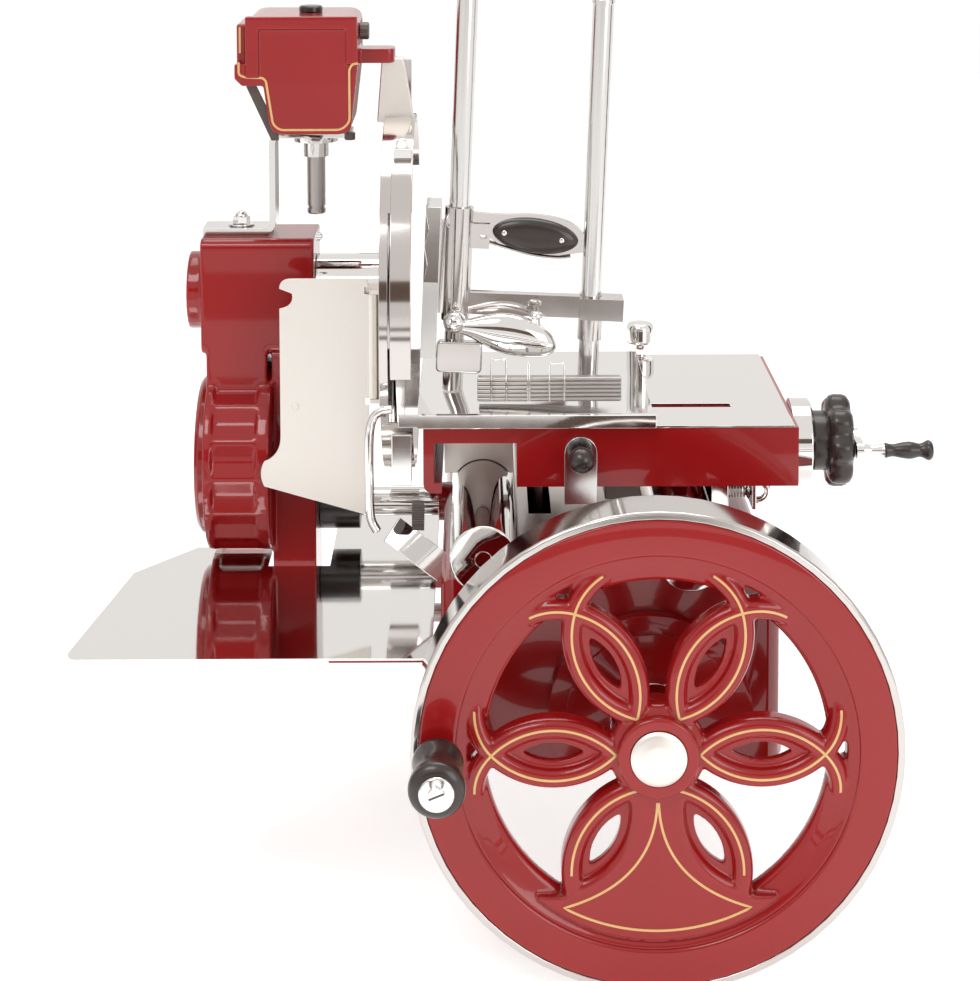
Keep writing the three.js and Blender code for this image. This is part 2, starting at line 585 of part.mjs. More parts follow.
// Blade: hollow ground disc, flat towards the table
function slicerBlade() {
  const { radius, thick, edge, dish } = blade;
  const bore = bladeShaft.radius + gap;
  return turning([[bore, -thick], [radius * 0.6, -thick], [radius - edge, -thick * 0.8], [radius, -gap * 2],
    [radius, 0],
    [radius - edge * 2, 0], [radius * 0.75, -gap], [blade.hubRadius * 1.4, -dish / 2], [bore, -dish / 2],
    [bore, -thick]], 'x', [0, 0], 52);
}

function bladeHub() {
  const { hubRadius, hubDepth, thick } = blade;
  const flange = -thick - gap;
  return turning([[0, bladeShaft.leftX - blade.x], [bladeShaft.radius, bladeShaft.leftX - blade.x],
    [bladeShaft.radius, flange - hubDepth], [hubRadius, flange - hubDepth], [hubRadius, flange],
    [bladeShaft.radius, flange], [bladeShaft.radius, 0], [0, 0]], 'x', [0, 0], 24);
}

// Guard: a plate behind the blade with a band round its edge, cut back where the food passes
const guard = { clear: 10, bandWall: 3, plateX: -208, plateThick: 2, rightX: -178, foodBottomZ: 278,
  foodTopZ: 474, foodRightX: -200, boreRadius: 14, tabLeftX: -197.5, tabRightX: -182, tabTopZ: 601,
    tabThick: 8 };
guard.bandRadius = blade.radius + guard.clear + guard.bandWall;

function bladeGuard() {
  const { bandRadius, bandWall, plateX, plateThick, rightX, foodBottomZ, foodTopZ, foodRightX, boreRadius,
    tabLeftX, tabRightX, tabTopZ, tabThick } = guard;
  const section = [[boreRadius, plateX], [bandRadius, plateX], [bandRadius, rightX],
    [bandRadius - bandWall, rightX],
    [bandRadius - bandWall, plateX + plateThick], [boreRadius, plateX + plateThick], [boreRadius, plateX]];
  const shell = turning(section, 'x', [0, blade.z], 52);
  const tab = block([tabLeftX, tabRightX], [-tabThick / 2, tabThick / 2],
    [blade.z + bandRadius - bandWall, tabTopZ]);
  const food = block([foodRightX, rightX + over], [-bandRadius - over, bandRadius + over],
    [foodBottomZ, foodTopZ]);
  return cut(join(shell, tab), food);
}

// Slice deflector and the strip with the upright pin that it swings on
const deflector = { y: -97, thick: 2, hingeX: -217, barrel: 5, pin: 2, bottomZ: 289, topZ: 389,
  stripThick: 2.4,
  stripDepth: 30, ear: 4, notchGap: 2.5, leftX: -305, plateTopZ: 404, plateBottomZ: 175, tipX: -327,
    tipZ: 216,
  tipRadius: 12 };

function deflectorPlate() {
  const { y, thick, hingeX, barrel, pin, bottomZ, topZ, ear, notchGap, tipX, tipZ, tipRadius } = deflector;
  const { leftX: left, plateTopZ: top, plateBottomZ: bottom } = deflector;
  const shape = new THREE.Shape();
  const right = hingeX - barrel * 0.7;
  shape.moveTo(right - barrel, top);
  shape.quadraticCurveTo(right, top, right, top - barrel * 2);
  shape.lineTo(right, bottom);
  shape.lineTo(tipX + tipRadius / 2, tipZ - tipRadius);
  shape.quadraticCurveTo(tipX, tipZ, tipX + tipRadius / 2, tipZ + tipRadius);
  shape.quadraticCurveTo(left, tipZ + tipRadius * 1.5, left, tipZ + tipRadius * 3);
  shape.lineTo(left, top - tipRadius * 2.4);
  shape.quadraticCurveTo(left + tipRadius * 1.2, top - tipRadius * 2.2, left + tipRadius,
    top - tipRadius * 1.2);
  shape.lineTo(left, top - tipRadius * 0.8);
  shape.quadraticCurveTo(left, top, left + tipRadius, top);
  const plate = prism(shape, 'y', y - thick / 2, y + thick / 2, 6);
  const knuckle = rod(barrel, 'z', bottomZ, topZ, [hingeX, y], 16);
  const notches = [[bottomZ - ear - notchGap, bottomZ], [topZ, topZ + ear + notchGap]].map((z) =>
    block([hingeX - barrel - notchGap, hingeX + barrel], [y - thick, y + thick], z));
  return cut(join(cut(plate, ...notches), knuckle),
    rod(pin + running, 'z', bottomZ - over, topZ + over, [hingeX, y], 16));
}

function hingeStrip() {
  const { y, hingeX, barrel, pin, bottomZ, topZ, stripThick, stripDepth, ear } = deflector;
  const right = guard.plateX - gap;
  const plate = block([right - stripThick, right], [y - stripDepth / 2, y + stripDepth / 2],
    [bottomZ - ear - gap, topZ + ear + gap]);
  const ears = [bottomZ - ear - gap,
    topZ + gap].map((z) => block([hingeX - pin - 2 * gap, right], [y - barrel, y + barrel], [z, z + ear]));
  return join(plate, ...ears, rod(pin, 'z', bottomZ - ear, topZ + ear, [hingeX, y], 16));
}

// Sharpener: a cast box on a pin, which slides up in a bush on a bent bracket
const sharp = { pinX: -276, halfDepth: 50, topZ: 648, leftX: -339.5, rightX: -232, bottomZ: 534,
  bottomLeftX: -316,
  bottomRightX: -238, stepZ: 588, earX: -350.5, earTopZ: 602, tongueTopZ: 613, tongueBottomZ: 599,
    tongueX: -198,
  tongueHalf: 17, wall: 7, corner: 12 };
const strip = { thick: 6, halfDepth: 20, topRunZ: 529, rightX: -240, legX: -317.6, footX: -386, bend: 9 };
const bush = { flange: 22, flangeDepth: 5, collar: 12.5, length: 20 };
const pinRod = { radius: 9, bottomZ: 449, groove: 1, grooveZ: 454, grooveDepth: 3, holeZ: 466,
  holeRadius: 3 };
const stone = { radius: 10, thick: 10, x: -255, z: 630, y: -8, spindle: 4, knobRadius: 8.5, knobLength: 9,
  chamfer: 1 };
const topKnob = { radius: 11.5, height: 6, stem: 5, stemLength: 5, chamfer: 1.5, x: -280 };

function sharpenerBox() {
  const s = sharp;
  const shape = new THREE.Shape();
  shape.moveTo(s.leftX + s.corner, s.topZ);
  shape.lineTo(s.rightX - s.corner, s.topZ);
  shape.quadraticCurveTo(s.rightX, s.topZ, s.rightX, s.topZ - s.corner);
  shape.lineTo(s.rightX, s.tongueBottomZ);
  shape.lineTo(s.bottomRightX, s.bottomZ + s.corner);
  shape.quadraticCurveTo(s.bottomRightX, s.bottomZ, s.bottomRightX - s.corner, s.bottomZ);
  shape.lineTo(s.bottomLeftX + s.corner, s.bottomZ);
  shape.quadraticCurveTo(s.bottomLeftX, s.bottomZ, s.bottomLeftX - s.wall / 4, s.bottomZ + s.corner);
  shape.lineTo(s.bottomLeftX - s.wall, s.stepZ - s.wall);
  shape.lineTo(s.earX + s.wall, s.stepZ - s.wall);
  shape.lineTo(s.earX, s.stepZ);
  shape.lineTo(s.earX, s.earTopZ);
  shape.lineTo(s.leftX, s.earTopZ);
  shape.lineTo(s.leftX, s.topZ - s.corner);
  shape.quadraticCurveTo(s.leftX, s.topZ, s.leftX + s.corner, s.topZ);
  const outer = prism(shape, 'y', -s.halfDepth, s.halfDepth, 5);
  const tongue = prism(rounded(s.tongueX - s.rightX + s.corner, 2 * s.tongueHalf, s.wall,
    [(s.tongueX + s.rightX - s.corner) / 2, 0]), 'z', s.tongueBottomZ, s.tongueTopZ, 4);
  const disc = rod(s.tongueHalf, 'x', s.leftX - s.wall, s.leftX + s.wall, [0, s.topZ - s.tongueHalf * 1.6],
    24);
  const inside = block([s.bottomLeftX + s.wall, s.bottomRightX - s.wall],
    [-s.halfDepth + s.wall, s.halfDepth - s.wall],
    [s.bottomZ - over, s.topZ - s.wall]);
  const spindleHole = rod(stone.spindle + running, 'x', s.bottomRightX - s.wall - over, s.rightX + over,
    [stone.y, stone.z], 16);
  const stemHole = rod(topKnob.stem + running, 'z', s.topZ - s.wall - over, s.topZ + over, [topKnob.x, 0],
    16);
  return cut(join(outer, tongue, disc), inside, spindleHole, stemHole);
}

// Bush under the bracket's top run, before it is bored for the pin
function pinBush() {
  const { flange, flangeDepth, collar, length } = bush;
  const under = strip.topRunZ - strip.thick / 2;
  return turning([[0, under - length], [collar, under - length], [collar, under - flangeDepth],
    [flange, under - flangeDepth], [flange, under + strip.thick / 2], [0, under + strip.thick / 2]],
  'z', [sharp.pinX, 0], 28);
}

function bentStrip() {
  const { thick, halfDepth, topRunZ, rightX, legX, footX, bend } = strip;
  const footZ = housing.blockTopZ + gap + thick / 2;
  const line = [[rightX, topRunZ], ...arc([legX + bend, topRunZ - bend], bend, 90, 180, 5),
    ...arc([legX - bend, footZ + bend], bend, 0, -90, 5), [footX, footZ]];
  return cut(join(prism(band(line, thick), 'y', -halfDepth, halfDepth), pinBush()),
    rod(pinRod.radius + running, 'z', topRunZ - bush.length * 2, topRunZ + thick, [sharp.pinX, 0], 28));
}

// The pin carries the box by its roof
function sharpenerPin() {
  const { radius, bottomZ, groove, grooveZ, grooveDepth, holeZ, holeRadius } = pinRod;
  const top = sharp.topZ - sharp.wall - gap;
  const body = turning([[0, bottomZ], [radius - groove, bottomZ], [radius, bottomZ + groove],
    [radius, grooveZ],
    [radius - groove, grooveZ], [radius - groove, grooveZ + grooveDepth], [radius, grooveZ + grooveDepth],
    [radius, top], [0, top]], 'z', [0, 0], 20);
  return cut(body, rod(holeRadius, 'x', -radius - over, radius + over, [0, holeZ], 12));
}

function stoneSpindle() {
  const { spindle, knobRadius, knobLength, thick, x, chamfer } = stone;
  const face = sharp.rightX + gap;
  const end = face + knobLength;
  return turning([[0, x - thick], [spindle, x - thick], [spindle, face], [knobRadius, face],
    [knobRadius, end - chamfer], [knobRadius - chamfer, end], [0, end]], 'x', [0, 0], 20);
}

function grindingStone() {
  const { radius, thick, x, spindle } = stone;
  return ring(spindle + gap, radius, 'x', x - thick / 2, x + thick / 2, [0, 0], 20);
}

function turnKnob() {
  const { radius, height, stem, stemLength, chamfer } = topKnob;
  const under = sharp.topZ + gap;
  const top = under + height;
  return turning([[0, under - stemLength], [stem, under - stemLength], [stem, under], [radius, under],
    [radius, top - chamfer], [radius - chamfer, top], [0, top]], 'z', [0, 0], 24);
}

// Cross slide: the red carriage that runs on the rails and holds the feed screw
const feed = { y: -95, z: 246, radius: 7, leftX: -78, travel: 130, nutX: -30, nutWidth: 20, nutDepth: 12,
  nutBottomZ: 234 };
const pad = { width: 20, depth: 24, inset: 20 };
const lug = { x: -45, thick: 8, depth: 20 };
const saddle = { leftX: -150, rightX: -84, bottomZ: 205, frontY: -60, depth: 150 };
const plate = { leftX: -165, rightX: 174, thick: 2, frontY: -166 };
const table = { leftX: -174, rightX: 46, backY: 96, lipLeftX: -190.5, lipFrontY: -176, lipDepth: 7.5,
  lipBottomZ: 282,
  lipTopZ: 293, thick: 5.4 };
const collar = { radius: 40, thick: 20, chamfer: 2.5 };
const index = { hubRadius: 28, hubDepth: 13.5, radius: 44, depth: 24, lobes: 8, waist: 38, bore: 8 };
const handle = { offset: 35, armThick: 7, armWidth: 15, neck: 4.5, neckLength: 26, gripRadius: 10,
  gripLength: 45,
  bore: 5, plug: 3.5 };
const strap = { leftX: -38, rightX: -8, bottomZ: 207, topZ: 271, thick: 4, ball: 12, stem: 4, knobZ: 254,
  reach: 8 };

const plateZ = slide.topZ + gap;
const tableZ = plateZ + plate.thick + gap;
const tableTopZ = tableZ + table.thick;
const rodTopZ = cross.z + crank.throw + rodBar.length;

function slideBody() {
  const { leftX, rightX, frontY, depth, bottomZ, topZ, wall, legBottomZ, legReach, legCorner, mouthRightX,
    roof } = slide;
  const backY = frontY + depth;
  const main = block([mouthRightX, rightX], [frontY, backY], [bottomZ, topZ]);
  const inside = block([mouthRightX + wall, rightX - wall], [frontY + wall, backY - wall],
    [bottomZ - over, topZ - roof]);
  const bridge = block([leftX, mouthRightX + over], [frontY, backY], [topZ - roof, topZ]);
  const legHeight = topZ - legBottomZ;
  const legMiddle = [leftX + legReach, legBottomZ + legHeight / 2];
  const leg = cut(prism(rounded(2 * legReach, legHeight, legCorner, legMiddle), 'y', frontY, backY, 4)
    .intersect(block([leftX, leftX + legReach], [frontY, backY], [legBottomZ, topZ])),
  block([leftX + wall, leftX + legReach + over], [frontY - over, backY + over],
    [legBottomZ + wall, topZ - roof]));
  const pads = [frontY + wall + pad.inset, backY - wall - pad.inset - pad.depth].map((y) =>
    block([rail.rightX - pad.width / 2, rail.rightX + pad.width / 2], [y, y + pad.depth],
      [rail.z + rail.radius + gap, topZ - roof + over]));
  const hanger = join(block([lug.x, lug.x + lug.thick], [-lug.depth / 2, lug.depth / 2],
    [rodTopZ - lug.depth / 2, topZ - roof + over]),
    rod(crank.pinRadius, 'x', topSlot.x + rodBar.thick / 2 + gap, lug.x + over, [0, rodTopZ], 20));
  const shell = join(cut(main, inside), bridge, leg, ...pads, hanger);
  const nut = feed.nutX;
  const slot = block([nut - over, nut + feed.nutWidth + feed.travel + over],
    [feed.y - feed.nutDepth / 2 - running, feed.y + feed.nutDepth / 2 + running],
      [topZ - roof - over, topZ + over]);
  const screwBore = rod(feed.radius + running, 'x', mouthRightX - over, rightX + over, [feed.y, feed.z], 24);
  const stemBore = rod(strap.stem + running, 'y', frontY - over, frontY + wall + over,
    [strapX(), strap.knobZ], 16);
  return cut(shell, slot, screwBore, stemBore);
}

function strapX() {
  return (strap.leftX + strap.rightX) / 2;
}

function railBearing() {
  const { leftX, rightX, bottomZ, frontY, depth } = saddle;
  return cut(block([leftX, rightX], [frontY, frontY + depth], [bottomZ, slide.topZ - slide.roof - gap]),
    rod(rail.radius + gap, 'y', frontY - over, frontY + depth + over, [rail.leftX, rail.z], 48));
}

function topPlate() {
  const nut = feed.nutX;
  return cut(block([plate.leftX, plate.rightX], [plate.frontY, slide.frontY + slide.depth],
    [plateZ, plateZ + plate.thick]),
    block([nut - over, nut + feed.nutWidth + feed.travel + over],
      [feed.y - feed.nutDepth / 2 - running, feed.y + feed.nutDepth / 2 + running],
        [plateZ - over, plateZ + plate.thick + over]));
}

// The sliding table, its front lip and the nut that hangs through the slots on to the feed screw
function meatTable() {
  const { leftX, rightX, backY, lipLeftX, lipFrontY, lipDepth, lipBottomZ, lipTopZ } = table;
  const sheet = block([leftX, rightX], [lipFrontY, backY], [tableZ, tableTopZ]);
  const lip = block([lipLeftX, rightX], [lipFrontY, lipFrontY + lipDepth], [lipBottomZ, lipTopZ]);
  const nut = block([feed.nutX, feed.nutX + feed.nutWidth],
    [feed.y - feed.nutDepth / 2, feed.y + feed.nutDepth / 2],
    [feed.nutBottomZ, tableTopZ]);
  const eye = rod(feed.nutDepth, 'x', feed.nutX, feed.nutX + feed.nutWidth, [feed.y, feed.z], 24);
  return cut(join(sheet, lip, nut, eye.intersect(block([feed.nutX, feed.nutX + feed.nutWidth],
    [feed.y - feed.nutDepth, feed.y + feed.nutDepth], [feed.nutBottomZ, slide.topZ - slide.roof - running]))),
  rod(feed.radius + running, 'x', feed.nutX - over, feed.nutX + feed.nutWidth + over, [feed.y, feed.z], 24));
}

const collarX = slide.rightX + gap;
const indexX = collarX + collar.thick + gap;
const armX = indexX + index.hubDepth + index.depth + running;

function screwCollar() {
  const { radius, thick, chamfer } = collar;
  const bore = feed.radius + running;
  return turning([[bore, collarX], [radius, collarX], [radius, collarX + thick - chamfer],
    [radius - chamfer, collarX + thick], [bore, collarX + thick], [bore, collarX]], 'x', [0, 0], 40);
}

function indexKnob() {
  const { hubRadius, hubDepth, radius, depth, lobes, waist, bore } = index;
  const steps = lobes * 4;
  const outline = Array.from({ length: steps }, (_, i) => {
    const angle = (i * 2 * Math.PI) / steps;
    const reach = (radius + waist) / 2 + ((radius - waist) / 2) * Math.cos(lobes * angle);
    return [reach * Math.cos(angle), reach * Math.sin(angle)];
  });
  const left = indexX + hubDepth;
  const disc = prism(outline, 'x', left, left + depth).intersect(turning([[0, left], [radius * 0.86, left],
    [radius, left + depth * 0.2], [radius, left + depth * 0.8], [radius * 0.86, left + depth],
      [0, left + depth]], 'x'));
  const hub = turning([[0, indexX], [hubRadius * 0.9, indexX], [hubRadius, indexX + 2 * gap],
    [hubRadius, left + over],
    [0, left + over]], 'x');
  return cut(join(disc, hub), rod(bore, 'x', indexX - over, left + depth + over, [0, 0], 24));
}

function feedScrew() {
  const { radius, leftX } = feed;
  return turning([[0, leftX], [radius, leftX], [radius, armX - gap], [handle.bore, armX - gap],
    [handle.bore, armX + handle.armThick], [0, armX + handle.armThick]], 'x', [0, 0], 24);
}

function crankArm() {
  const { offset, armThick, armWidth, neck, neckLength, bore, plug, gripLength } = handle;
  const bar = block([armX, armX + armThick], [-offset, 0], [-armWidth / 2, armWidth / 2]);
  const ends = [0, -offset].map((y) => rod(armWidth / 2 + (y === 0 ? armWidth / 4 : 0), 'x', armX,
    armX + armThick, [y, 0], 24));
  const spindle = turning([[0, armX + armThick - over], [neck * 1.6, armX + armThick - over],
    [neck, armX + armThick + neck * 2],
    [neck * 1.5, armX + neckLength], [plug, armX + neckLength], [plug, armX + neckLength + gripLength / 2],
    [0, armX + neckLength + gripLength / 2]], 'x', [-offset, 0], 14);
  return cut(join(bar, ...ends, spindle),
    rod(bore + gap, 'x', armX - over, armX + armThick + over, [0, 0], 20));
}

function crankHandle() {
  const { neckLength, plug, gripLength, gripRadius } = handle;
  const left = armX + neckLength + gap;
  const bore = plug + gap;
  return turning([[bore, left], [gripRadius * 0.75, left], [gripRadius * 0.55, left + gripLength * 0.16],
    [gripRadius * 0.8, left + gripLength * 0.4], [gripRadius * 0.9, left + gripLength * 0.6],
    [gripRadius * 0.62, left + gripLength * 0.78], [gripRadius, left + gripLength * 0.88],
    [gripRadius * 0.7, left + gripLength], [0, left + gripLength], [0, left + gripLength / 2 + over],
    [bore, left + gripLength / 2 + over], [bore, left]], 'x', [-handle.offset, 0], 20);
}

function lockStrap() {
  const { leftX, rightX, bottomZ, topZ, thick, stem, knobZ } = strap;
  const half = (rightX - leftX) / 2;
  const outline = [[leftX, bottomZ], [rightX, bottomZ], ...arc([strapX(), topZ - half], half, 0, 180, 10)];
  const front = slide.frontY - gap;
  return cut(prism(outline, 'y', front - thick, front),
    rod(stem + running, 'y', front - thick - over, front + over, [strapX(), knobZ], 16));
}

function strapKnob() {
  const { thick, ball, stem, reach } = strap;
  const front = -thick - 2 * gap;
  return turning([...arc([0, front - ball - reach / 4], ball, -90, 60,
    6).map(([r, h]) => [Math.max(r, 0), h]),
    [ball * 0.6, front], [stem, front], [stem, slide.wall], [0, slide.wall]], 'y', [0, 0], 24);
}

// Food press: two leaning columns on the table carry a sliding arm. Local frame: foot of the left
// column, +Z along the columns, +X towards the right column
const press = { x: -142.2, y: -55, lean: 2.4, spacing: 130, columnRadius: 10, columnLength: 386,
  capRadius: 11,
  capDepth: 6, foot: 0.8, sleeve: 14, sleeveBottom: 69, sleeveTop: 179, armBottom: 76, armTop: 97, armHalf: 7,
  blockLeft: 119, blockRight: 161, blockHalf: 15, skirt: 12 };
const teeth = { leftX: -32, rightX: -17, bottom: 40, top: 182, half: 42, count: 11, depth: 3.5, waist: 0.62 };
const lever = { pivotX: 24, pivotZ: 152, y: 0, thick: 5, width: 12, length: 85, drop: 23, gripLength: 84,
  gripHeight: 32, gripHalf: 11, gripX: 52, gripZ: -5, gripTilt: -7, pin: 3 };
const spoon = { x: 6, y: -33, z: 67.8, ball: 11.5, length: 100, half: 9, blockLeft: -16.6, blockRight: 27,
  blockBottom: 26, blockTop: 56, blockHalf: 14, screwRadius: 5, screwX: 76 };
const fork = { leftX: -118, rightX: 18, frontY: -108, depth: 10, height: 21, prongCount: 5, prongRadius: 1.6,
  prongHeight: 9 };

function column(foot) {
  const { columnRadius, columnLength, capRadius, capDepth } = press;
  return turning([[0, foot], [columnRadius, foot], [columnRadius, columnLength - capDepth],
    [capRadius, columnLength - capDepth], [capRadius, columnLength - capDepth / 3],
    [capRadius * 0.8, columnLength], [0, columnLength]], 'z', [0, 0], 24);
}

function pressArm() {
  const { spacing, columnRadius, sleeve, sleeveBottom, sleeveTop, armBottom, armTop, armHalf, blockLeft,
    blockRight,
    blockHalf } = press;
  const tubeBody = rod(sleeve, 'z', sleeveBottom, sleeveTop, [0, 0], 20);
  const bar = block([0, blockRight - armHalf], [-armHalf, armHalf], [armBottom, armTop]);
  const end = block([blockLeft, blockRight], [-blockHalf, blockHalf], [armBottom - gap, armTop - gap]);
  const skirt = rod(press.skirt, 'z', sleeveBottom - sleeve, armTop - gap, [spacing, 0], 24);
  const cheek = lever.thick / 2 + gap;
  const cheeks = [[-armHalf, -cheek],
    [cheek, armHalf]].map((y) => block([0, lever.pivotX + lever.width / 2], y,
    [lever.pivotZ - lever.width, lever.pivotZ + lever.width]));
  const pinBore = rod(lever.pin + running, 'y', -armHalf - over, armHalf + over,
    [lever.pivotX, lever.pivotZ], 16);
  const bridge = block([teeth.rightX + gap, 0], [-armHalf, armHalf], [armBottom, sleeveTop - sleeve]);
  const bores = [0, spacing].map((x) => rod(columnRadius + running, 'z', sleeveBottom - 2 * sleeve,
    sleeveTop + over, [x, 0], 28));
  return cut(join(tubeBody, bar, end, skirt, ...cheeks, bridge), pinBore, ...bores);
}

// Serrated plate that holds the food back from the blade
function pressPlate() {
  const { leftX, rightX, bottom, top, half, count, depth, waist } = teeth;
  const pitch = (2 * half) / count;
  const left = Array.from({ length: count },
    (_, i) => [[leftX, -half + i * pitch], [leftX + depth, -half + (i + 0.5) * pitch]]).flat();
  const outline = [...left, [leftX, half], [rightX, half], [rightX, -half]];
  const plateBody = prism(outline.reverse(), 'z', bottom, top);
  const silhouette = [[-half, bottom], [half, bottom], [half, top * waist], [half * waist, top],
    [-half * waist, top], [-half, top * waist]];
  return plateBody.intersect(prism(silhouette, 'x', leftX - over, rightX + over));
}

// The leaf outline of the grip, or of the tang inside it; the lever's own origin is its pivot
function leaf(share) {
  const { gripLength, gripHeight, gripX, gripZ, gripTilt } = lever;
  return new THREE.Shape().absellipse(gripX, gripZ, (gripLength / 2) * share, (gripHeight / 2) * share, 0,
    2 * Math.PI,
    false, THREE.MathUtils.degToRad(gripTilt));
}

function pressLever() {
  const { thick, width, length, drop, gripX, gripZ, pin } = lever;
  const half = thick / 2;
  const eye = rod(width / 2, 'y', -half, half, [0, 0], 20);
  const spine = prism(band([[0, 0], [gripX, gripZ]], width * 0.8), 'y', -half, half);
  const finger = prism(band([[0, 0], [length * 0.35, -drop * 0.7], [length * 0.7, -drop * 0.86],
    [length, -drop]], width / 2),
    'y', -half, half);
  return join(eye, spine, finger, prism(leaf(0.7), 'y', -half, half, 14),
    rod(pin, 'y', -thick - gap, thick + gap, [0, 0], 16));
}

// Leaf-shaped grip, slotted from below for the lever's tang
function leverGrip() {
  const { gripLength, gripHeight, gripHalf, thick, gripX, gripZ } = lever;
  const half = thick / 2 + gap;
  const slot = block([gripX - gripLength, gripX + gripLength], [-half, half],
    [gripZ - gripHeight, gripZ + gripHeight * 0.42]);
  return cut(prism(leaf(1), 'y', -gripHalf, gripHalf, 16), slot);
}

function clampBlock() {
  const { blockLeft, blockRight, blockBottom, blockTop, blockHalf, y } = spoon;
  const height = blockTop - blockBottom;
  return prism(rounded(blockRight - blockLeft, height, blockHalf / 3,
    [(blockLeft + blockRight) / 2, blockBottom + height / 2]), 'y', y - blockHalf / 2, y + blockHalf / 2, 4);
}

// Spoon-shaped handle; its own origin is its pivot ball
function spoonHandle() {
  const { ball, length, half, screwRadius, screwX } = spoon;
  const shape = new THREE.Shape();
  shape.moveTo(0, ball * 0.4);
  shape.bezierCurveTo(length * 0.3, ball * 0.9, length * 0.7, ball * 0.9, length, -ball);
  shape.quadraticCurveTo(length * 1.05, -ball * 2.1, length * 0.85, -ball * 2.2);
  shape.bezierCurveTo(length * 0.6, -ball * 1.5, length * 0.3, -ball * 1.2, 0, -ball * 0.4);
  shape.closePath();
  const body = prism(shape, 'y', -half, half, 10);
  const screw = rod(screwRadius, 'z', -ball / 2, ball * 0.7, [screwX, 0], 14);
  const eye = rod(ball, 'y', -half, half, [0, 0], 24);
  return join(body, eye, screw);
}

function forkBar() {
  const { leftX, rightX, frontY, depth, height, prongCount, prongRadius, prongHeight } = fork;
  const floor = tableTopZ + gap;
  const bar = block([leftX, rightX], [frontY, frontY + depth], [floor, floor + height]);
  const pitch = (rightX - leftX) / prongCount;
  const pins = Array.from({ length: prongCount },
    (_, i) => turning([[0, floor + height - over], [prongRadius, floor + height - over],
    [prongRadius, floor + height + prongHeight * 0.7], [0, floor + height + prongHeight]], 'z',
  [leftX + (i + 0.5) * pitch, frontY + depth / 2], 8));
  return join(bar, ...pins);
}

// The assembly

// Base, rails and everything fixed to them
piece('base_casting', baseCasting(), colour.red);
piece('bottom_cover', bottomCover(), colour.steel);
for (const [name, x] of [['main_rail', rail.leftX], ['second_rail', rail.rightX]]) {
  piece(name, roundRail(), colour.chrome, group(x, rail.frontY + rail.length / 2, rail.z));
}
const bossFace = base.frontY - frontBoss.proud - frontBoss.stepProud - gap;
piece('shaft_collar', ring(shaft.radius + running, frontBoss.collar, 'y', bossFace - frontBoss.collarDepth,
  bossFace, [0, 0], 40),
  colour.chrome, group(wheel.x, 0, wheel.z));
piece('drip_plate', dripPlate(), colour.satin);
piece('bridge_shaft', bridgeShaft(), colour.chrome);
piece('bridge_sleeve', bridgeSleeve(), colour.black);
piece('chain_housing', chainHousing(), colour.red);
piece('slice_tray', sliceTray(), colour.chrome);

// Blade and its drive, on the blade's axis
const bladeAxis = group(0, 0, blade.z);
piece('blade_tube', ring(tube.bore, tube.radius, 'x', housing.rightX + gap, guard.plateX - gap, [0, 0], 40),
  colour.chrome, bladeAxis);
const bladeGroup = group(blade.x, 0, 0, bladeAxis);
piece('blade', slicerBlade(), colour.chrome, bladeGroup);
piece('blade_shaft', bladeHub(), colour.steel, bladeGroup);
piece('blade_sprocket', sprocket(chain.highRadius, housing.upperChainX, bladeShaft.radius), colour.steel,
  bladeAxis);
piece('blade_guard', bladeGuard(), colour.chrome);
piece('hinge_strip', hingeStrip(), colour.satin);
piece('deflector_plate', deflectorPlate(), colour.satin);

const layAxis = group(0, 0, lay.z);
piece('drum_cover', drumEndCover(), colour.red, layAxis);
const layHalfChain = chain.width / 2;
piece('lay_shaft', rod(layShaft.radius, 'x', housing.upperChainX - 2 * layHalfChain, layShaft.rightX,
  [0, 0], 24), colour.steel, layAxis);
piece('lay_wheels', layWheels(), colour.steel, layAxis);
piece('upper_chain', chainLoop(housing.upperChainX, lay.z, chain.lowRadius, blade.z, chain.highRadius),
  colour.dark);
piece('lower_chain', chainLoop(housing.lowerChainX, cross.z, chain.legRadius, lay.z, chain.legRadius),
  colour.dark);

// Cross shaft with its crank, and the rod that drives the carriage
const crossAxis = group(0, cross.y, cross.z);
piece('cross_shaft', crankShaft(), colour.steel, crossAxis);
piece('bevel_pinion', bevelPinion(), colour.steel, crossAxis);
piece('cross_sprocket', sprocket(chain.legRadius, housing.lowerChainX, crossShaft.radius), colour.steel,
  crossAxis);
piece('connecting_rod', connectingRod(), colour.steel,
  group(topSlot.x - rodBar.thick / 2, cross.y, cross.z + crank.throw));

// Flywheel
const wheelGroup = group(wheel.x, wheel.faceY, wheel.z);
piece('flywheel', flywheelBody(), colour.red, wheelGroup);
piece('flywheel_rim', flywheelRim(), colour.chrome, wheelGroup);
piece('hub_cap', hubCap(), colour.chrome, wheelGroup);
piece('flywheel_shaft', wheelShaft(), colour.steel, wheelGroup);
piece('bevel_gear', drivingBevel(), colour.steel, group(wheel.x, 0, wheel.z));
const gripGroup = group(-grip.armRadius, 0, 0, wheelGroup);
piece('grip_spindle', gripSpindle(), colour.chrome, gripGroup);
piece('crank_grip', crankGrip(), colour.black, gripGroup);

// Carriage
piece('slide_body', slideBody(), colour.red);
piece('rail_bearing', railBearing(), colour.steel);
piece('top_plate', topPlate(), colour.chrome);
piece('lock_strap', lockStrap(), colour.chrome);
piece('strap_knob', strapKnob(), colour.black, group(strapX(), slide.frontY, strap.knobZ));
piece('meat_table', meatTable(), colour.chrome);
piece('fork_bar', forkBar(), colour.dark);
const screwAxis = group(0, feed.y, feed.z);
piece('feed_screw', feedScrew(), colour.steel, screwAxis);
piece('screw_collar', screwCollar(), colour.chrome, screwAxis);
piece('index_knob', indexKnob(), colour.black, screwAxis);
piece('crank_arm', crankArm(), colour.chrome, screwAxis);
piece('crank_handle', crankHandle(), colour.black, screwAxis);

